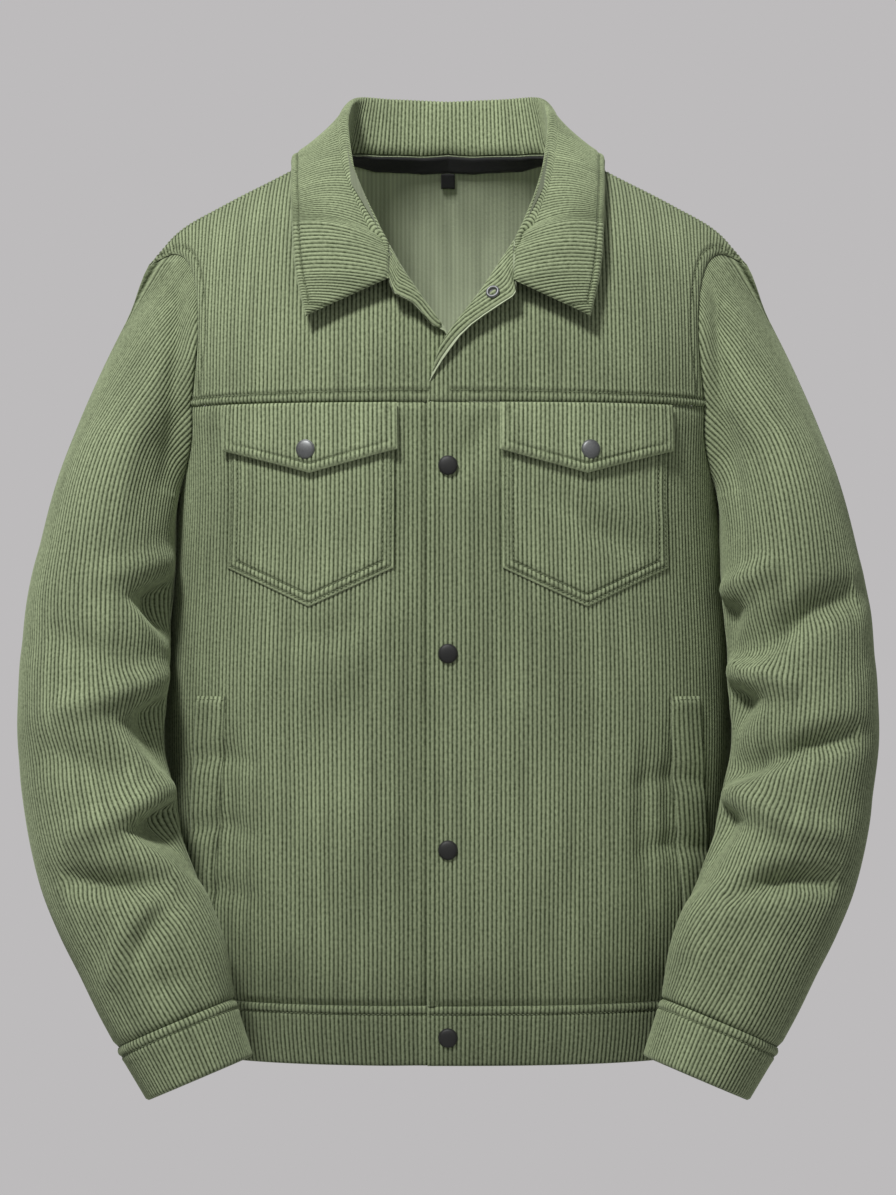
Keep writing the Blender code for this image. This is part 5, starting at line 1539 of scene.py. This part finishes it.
# Rows from the neck seam up the stand, over the fold and down the leaf, at each station t.
def collarRows(t, side):
    seam, outward, known = neckSeam(side)
    early = np.minimum(t, 2.0)
    neck = pointsAt(early, known, seam) + unit(pointsAt(early, known, outward)) * collarSize["lift"]
    meet = seam[-1] + collarMeets["roll"] - place(collarFold, np.array(2.0), "station")
    fold = place(collarFold, early, "station") + meet * ease((early - 1.5) / 0.5)[:, None]
    edge = place(collarEdge, t, "station")
    ahead = place(collarFold, np.minimum(early + 0.1, 2.0), "station")
    behind = place(collarFold, np.maximum(early - 0.1, 0.0), "station")
    arch = unit(np.cross(ahead - behind, edge - place(collarFold, early, "station")))
    arch = arch * (smooth(t, collarBow["station"], collarBow["bow"]) * np.clip((4.0 - t) / 2, 0, 1))[:, None]
    up = unit(fold - neck)
    across = edge - fold
    out = unit(across - up * (across * up).sum(-1, keepdims=True))
    stand = 0.42 * np.linalg.norm(fold - neck, axis=1)
    radius = np.clip(stand, collarSize["least"], collarSize["foldRadius"])[:, None]
    low = fold - up * radius
    rows = [neck + (low - neck) * share for share in standShares]
    rows += [low + out * radius + radius * (-out * math.cos(a) + up * math.sin(a)) for a in foldTurns]
    border = innerBorder(t, side)
    shut = ease((t - 2) / collarSize["closing"])[:, None]
    moved = border - innerBorder(np.array([2.0]), side)
    rows = [(row + moved * (t > 2)[:, None]) * (1 - shut) + border * shut for row in rows]
    start = rows[-1]
    reach = np.linalg.norm(edge - start, axis=1)
    span = collarSize["nearEdge"]
    near = span * np.minimum(1, reach / (2 * span))
    for step in leafSteps:
        further = (step - span) / (collarSize["leaf"] - span) * (reach - near)
        left = near * step / span if step < span else near + further
        share = (1 - left / np.maximum(reach, 1e-9))[:, None]
        rows.append(start + (edge - start) * share + 4 * share * (1 - share) * arch)
    return np.stack(rows)


# Normals of a grid by the cross product of its slopes across and along.
def gridNormals(points):
    return unit(np.cross(np.gradient(points, axis=1), np.gradient(points, axis=0)))


# Stitches along fractional rows and columns of a grid.
def sewOnGrid(points, normals, rows, columns, side="left"):
    rows, columns = np.broadcast_arrays(np.asarray(rows, float), np.asarray(columns, float))
    return sewAlong(sampled(points, rows, columns), unit(sampled(normals, rows, columns)), side)


# Half the collar: its rows at stations that lie one grid column apart along the leaf's seventh row.
def collarHalf(side):
    tries = np.linspace(0, 4, 900)
    middle = collarRows(tries, side)[len(standShares) + len(foldTurns) + 6]
    reach = stepsAlong(middle)
    columns = np.append(np.arange(0, reach[-1] - columnStep / 2, columnStep), reach[-1])
    stations = np.interp(columns, reach, tries)
    return sided(collarRows(stations, side), side), columns, stations


def makeCollar():
    left, acrossLeft, stationLeft = collarHalf("left")
    right, acrossRight, stationRight = collarHalf("right")
    points = np.concatenate([right[:, :0:-1], left], axis=1)
    across = np.concatenate([-acrossRight[:0:-1], acrossLeft])
    station = np.concatenate([stationRight[:0:-1], stationLeft])
    normals = gridNormals(points)
    run = stepsAlong(points[:, len(acrossRight) - 1])
    first = len(standShares) + len(foldTurns) - 1
    reach = np.linalg.norm(points[-1] - points[first], axis=1)
    inset = first + 1.0 + leafRow
    picked = np.arange(len(across))[reach > 0.010][8:-8]
    lines = [sewOnGrid(points, normals, inset, picked)]
    for column in (picked[0], picked[-1]):
        rows = np.linspace(first + 0.6, inset, 30)
        lines.append(sewOnGrid(points, normals, rows, np.full(30, float(column))))
    stand = np.linalg.norm(points[len(standShares) - 1] - points[0], axis=1)
    behind = np.arange(len(across))[station < 0.92]
    level = 1 - (collarSize["insideLine"] - collarSize["foldRadius"]) / stand[behind]
    level = level * (len(standShares) - 1)
    lines.append(sewOnGrid(points, normals, level, behind))
    grid = patch(points, across[None], run[:, None], lines=lines, rolled=("end", "first", "last"))
    sewSheet("collar", [grid], litCollarCloth, "collar_corduroy", edge=(0.0011, 0.0014), wall=collarSize["wall"])


makeCollar()


# A panel with straight sides and a pointed lower edge: columns on the wales, rows from the edge up.
def makeShield(name, side, sizes, lift):
    s = np.clip(waleColumns(sizes["left"], sizes["right"]), sizes["left"], sizes["right"])
    x = section(s, np.full(len(s), sizes["side"]), "front")[:, 0]
    middle, half = (x[0] + x[-1]) / 2, (x[-1] - x[0]) / 2
    low = sizes["point"] + (sizes["side"] - sizes["point"]) * np.abs(x - middle) / half
    tall = sizes["top"] - sizes["point"]
    drops = [inset * math.hypot(1, (sizes["side"] - sizes["point"]) / half) for inset in sizes["stitches"]]
    share = (sewnSteps(0.0, tall, drops, sizes["rowStep"]) / tall)[:, None]
    kept = 0.35 * tall  # rows this near the edge run parallel to it, those above level out
    rest = (sizes["top"] - low - kept) * (share * tall - kept) / (tall - kept)
    z = np.where(share * tall < kept, low + share * tall, low + kept + rest)
    across = s + 0 * z
    points = overFront(side, across, z, lift(1 - share) + 0 * z)[0]
    lines = []
    for inset, drop in zip(sizes["stitches"], drops):
        left, right = float(s[0]) + inset, float(s[-1]) - inset
        lower = np.linspace(left, right, 80)
        edge = np.interp(lower, s, low) + drop
        up = np.linspace(float(edge[0]), sizes["top"] - 0.002, 40)
        along = np.concatenate([np.full(40, left), lower, np.full(40, right)])
        heights = np.concatenate([up[::-1], edge, up])
        shares = (sizes["top"] - heights) / tall
        lines.append(sewAlong(*overFront(side, along, heights, lift(shares)), side))
    run = z - sizes["point"]
    grid = patch(sided(points, side), across, run, lines=lines, rolled=("start", "first", "last"))
    sewSheet(name + "_" + side, [grid], litPocketCloth, flip=side == "right", edge=(0.0008, 0.0011))


def pocketLift(share):
    return cloth["gap"] + 0 * share


# A flap stands out further towards its point.
def flapLift(share):
    return cloth["wall"] + 2 * cloth["gap"] + flap["spread"] * share


# A side pocket's welt: a narrow strip inwards from its outer edge.
def makeWelt(side):
    z = evenSteps(welt["bottom"], welt["top"], welt["rowStep"])[:, None]
    inward = np.clip(waleColumns(0.0, welt["width"])[None], 0, welt["width"])[:, ::-1]
    x = weltEdge(z) - inward
    s = np.stack([alongFront(row, np.full(len(row), level)) for row, level in zip(x, z[:, 0])])
    points, normals = overFront(side, s, z + 0 * s, cloth["gap"] + welt["lift"])
    columns = np.linspace(0, s.shape[1] - 1.01, 20)
    lines = [sewOnGrid(points, normals, row, columns, side) for row in (len(z) - 1.4, 0.4)]
    grid = patch(sided(points, side), -inward, z - welt["bottom"], lines=lines)
    sewSheet("welt_" + side, [grid], bodyCloth, flip=side == "right")


for side in ("left", "right"):
    makeShield("pocket", side, pocket, pocketLift)
    makeShield("flap", side, flap, flapLift)
    makeWelt(side)


# Neck tape and label loop.
# How far down from the neckline they run and how deep they lie; past "turn" the tape's width runs sideways.
tape = {"from": 0.0003, "to": 0.0145, "depth": 0.0035, "wall": 0.0012, "turn": (0.058, 0.016)}
label = {"from": 0.0151, "to": 0.0266, "depth": 0.0037, "wall": 0.0009, "width": 0.0115, "bow": 0.0004}


# Points on the wrong side of the back, this far down from the neckline at cloth distance s, this deep in.
def underNeck(s, down, depth):
    v = np.interp(np.abs(s), backNeck["along"], backNeck["rise"])
    begin, fade = tape["turn"]
    turn = ease((np.abs(s) - begin) / fade)
    climb = backSurface(s, body["narrow"] + v) - backSurface(s, body["narrow"] + v - 0.01)
    tall = np.linalg.norm(climb, axis=-1) / 0.01
    level = body["narrow"] + np.minimum(v - down / tall * (1 - turn), 0.9999)
    points, normals = onSurface(backSurface, s + np.sign(s) * down * turn, level, -1)
    return points - normals * depth


def makeTape():
    s = np.linspace(-body["neckAlong"], body["neckAlong"], 150)[None]
    down = np.linspace(tape["to"], tape["from"], 8)[:, None]
    points = underNeck(s + 0 * down, down + 0 * s, tape["depth"])
    grid = patch(points, stepsAlong(points[4]), down, flat=True)
    sewSheet("neck_tape", [grid], tapeCloth, "tape", edge=(0.0003, 0.0006), wall=tape["wall"])
    s = np.linspace(-label["width"] / 2, label["width"] / 2, 13)[None]
    down = np.linspace(label["to"], label["from"], 12)[:, None]
    points = underNeck(s + 0 * down, down + 0 * s, label["depth"])
    bow = label["bow"] * np.cos(s / label["width"] * math.pi)
    points[..., 1] = points[..., 1].mean(axis=1, keepdims=True) - bow
    grid = patch(points, s, down, flat=True)
    sewSheet("label_loop", [grid], tapeCloth, "tape", edge=(0.0003, 0.0005), wall=label["wall"])


makeTape()


# Snaps.
snap = {
    "radius": 0.0071, "height": 0.0030, "heights": (-0.237, -0.373, -0.515, -0.652), "flapHeight": -0.2255,
    "lift": 0.0007, "flapLift": 0.0006,
}
socket = {"outer": 0.0052, "inner": 0.0028, "height": 0.0014}


# A turned shape: a profile of (radius, height) pairs spun round the direction out of the cloth.
def turnedShape(name, point, normal, profile, material, node):
    across = unit(np.cross(normal, [0, 0, 1.0]))
    up = np.cross(across, normal)
    turns = np.linspace(0, 2 * math.pi, 49)
    circle = np.cos(turns)[:, None] * across + np.sin(turns)[:, None] * up
    profile = np.array(profile)
    points = point + profile[:, 0, None, None] * circle[None] + profile[:, 1, None, None] * normal
    index = np.arange(points[..., 0].size).reshape(points.shape[:2])
    points = points.reshape(-1, 3)
    faces, count = gridFaces(index, points), len(points)
    shape = buildMesh(name, points, faces, np.zeros((count, 2)), np.zeros(count), material, 40)
    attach(shape, "root")
    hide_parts(node)


# A cap: a straight rim with a quarter of an ellipse over it.
def capProfile():
    radius, height = snap["radius"], snap["height"]
    angles = np.radians(np.linspace(0, 90, 10))
    dome = [(0.92 * radius * math.cos(a), 0.0013 + (height - 0.0013) * math.sin(a)) for a in angles]
    foot = [(0.0, -0.0004), (radius * 0.97, -0.0004)]
    return foot + [(radius, 0.0001), (radius, 0.0007), (0.965 * radius, 0.0012)] + dome


# The socket: half a round ring on a flat foot, with a shallow cone in its middle.
def socketProfile():
    outer, inner = socket["outer"], socket["inner"]
    middle, reach = (outer + inner) / 2, (outer - inner) / 2
    angles = np.radians(np.linspace(-10, 190, 12))
    foot = [(0.0, -0.0018), (outer * 0.7, -0.0018), (outer, -0.0006)]
    ring = [(middle + reach * math.cos(t), socket["height"] * math.sin(t)) for t in angles]
    return foot + ring + [(inner * 0.96, -0.0003), (inner * 0.55, -0.0012), (0.0, -0.0013)]


def makeSnaps():
    for number, z in enumerate(snap["heights"], 1):
        surface = hemSurface if z < body["hemSeam"] else frontSurface("left")
        point, normal = onSurface(surface, np.array(0.0), np.array(z))
        point = point + normal * snap["lift"]
        name = "snap_front_" + str(number)
        turnedShape(name + "_cap", point, normal, capProfile(), blackCap, name)
    for side in ("left", "right"):
        middle = np.array((flap["left"] + flap["right"]) / 2)
        share = (flap["top"] - snap["flapHeight"]) / (flap["top"] - flap["point"])
        point, normal = overFront(side, middle, np.array(snap["flapHeight"]), flapLift(share))
        point, normal = sided(point + normal * snap["flapLift"], side), sided(normal, side)
        name = "snap_flap_" + side
        turnedShape(name + "_cap", point, normal, capProfile(), steelCap, name)
    low, high = (np.array(corner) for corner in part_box("snap_socket"))
    middle = (low + high) / 2
    edge, start = lapelLines(np.linspace(0.0, rollTopRise("left"), 60), "left")[:2]
    nearest = int(np.abs(edge[:, 2] / 2 + start[:, 2] / 2 - middle[2]).argmin())
    normal = unit(np.cross(edge[nearest + 3] - edge[nearest - 3], edge[nearest] - start[nearest]))
    normal = normal * (-1 if normal[1] > 0 else 1)
    middle = middle - normal * socket["height"] * 0.35
    turnedShape("snap_socket_ring", middle, normal, socketProfile(), steelCap, "snap_socket")


makeSnaps()

stitches = makeStitches("topstitching")
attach(stitches, "root")


# Floor, light and camera.
studio = {
    "background": (0.509, 0.497, 0.503),  # what the camera sees behind the jacket
    "skyLight": (0.235, 0.235, 0.24),  # what lights the cloth from all round
    "floorColour": (0.62, 0.61, 0.61),
    "floorBelow": 1.2,
    "cameraDistance": 2.7,
    "middle": -0.3325,
    "frameHeight": 0.908,
}
# Each light: its place, what it points at, its size and power.
lights = {
    "keyLight": ((-0.85, -1.7, 2.0), (0, 0, -0.38), 0.6, 86.0),
    "fillLight": ((1.2, -2.2, 0.5), (0, 0, -0.3), 1.2, 4.0),
}


# A disc: rings round the origin, this far below the jacket's middle.
def makeFloor():
    turns = np.linspace(0, 2 * math.pi, 97)[:-1]
    radii = np.array([0.0, 1.5, 3.6])[:, None]
    x, y = radii * np.cos(turns), radii * np.sin(turns)
    points = np.stack([x, y, np.full(x.shape, studio["middle"] - studio["floorBelow"])], -1)
    index = np.arange(x.size).reshape(x.shape)
    ahead = np.roll(index, -1, axis=1)
    faces = np.stack([index[:-1], index[1:], ahead[1:], ahead[:-1]], -1).reshape(-1, 4)
    mesh = bpy.data.meshes.new("floorDisc")
    mesh.from_pydata(points.reshape(-1, 3).tolist(), [], faces.tolist())
    mesh.materials.append(plain("paleFloor", studio["floorColour"], 0.8))
    addObject("floorDisc", mesh)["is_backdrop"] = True


def areaLight(name, place, target, size, power):
    data = bpy.data.lights.new(name, "AREA")
    data.shape, data.size, data.energy = "DISK", size, power
    light = addObject(name, data)
    light.location = place
    light.rotation_euler = (Vector(target) - Vector(place)).to_track_quat("-Z", "Y").to_euler()


makeFloor()
world = bpy.data.worlds.new("paleRoom")
world.use_nodes = True
tree = world.node_tree
sky, seen = tree.nodes["Background"], tree.nodes.new("ShaderNodeBackground")
setInputs(sky, {"Color": (*studio["skyLight"], 1)})
setInputs(seen, {"Color": (*studio["background"], 1)})
either = tree.nodes.new("ShaderNodeMixShader")
tree.links.new(tree.nodes.new("ShaderNodeLightPath").outputs["Is Camera Ray"], either.inputs[0])
tree.links.new(sky.outputs[0], either.inputs[1])
tree.links.new(seen.outputs[0], either.inputs[2])
tree.links.new(either.outputs[0], tree.nodes["World Output"].inputs["Surface"])
bpy.context.scene.world = world
for name in lights:
    areaLight(name, *lights[name])
bpy.context.scene.view_settings.view_transform = "Standard"
cameraData = bpy.data.cameras.new("viewpoint")
cameraData.sensor_fit = "VERTICAL"
cameraData.sensor_height = 36.0
cameraData.lens = 36.0 * studio["cameraDistance"] / studio["frameHeight"]
camera = addObject("viewpoint", cameraData)
camera.location = (0, -studio["cameraDistance"], studio["middle"])
camera.rotation_euler = (math.radians(90), 0, 0)
bpy.context.scene.camera = camera
print("floor, light and camera set")


def corners(bounds):
    return [[float(part) for part in corner] for corner in bounds]


{"before": corners(boxBefore), "after": corners(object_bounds())}
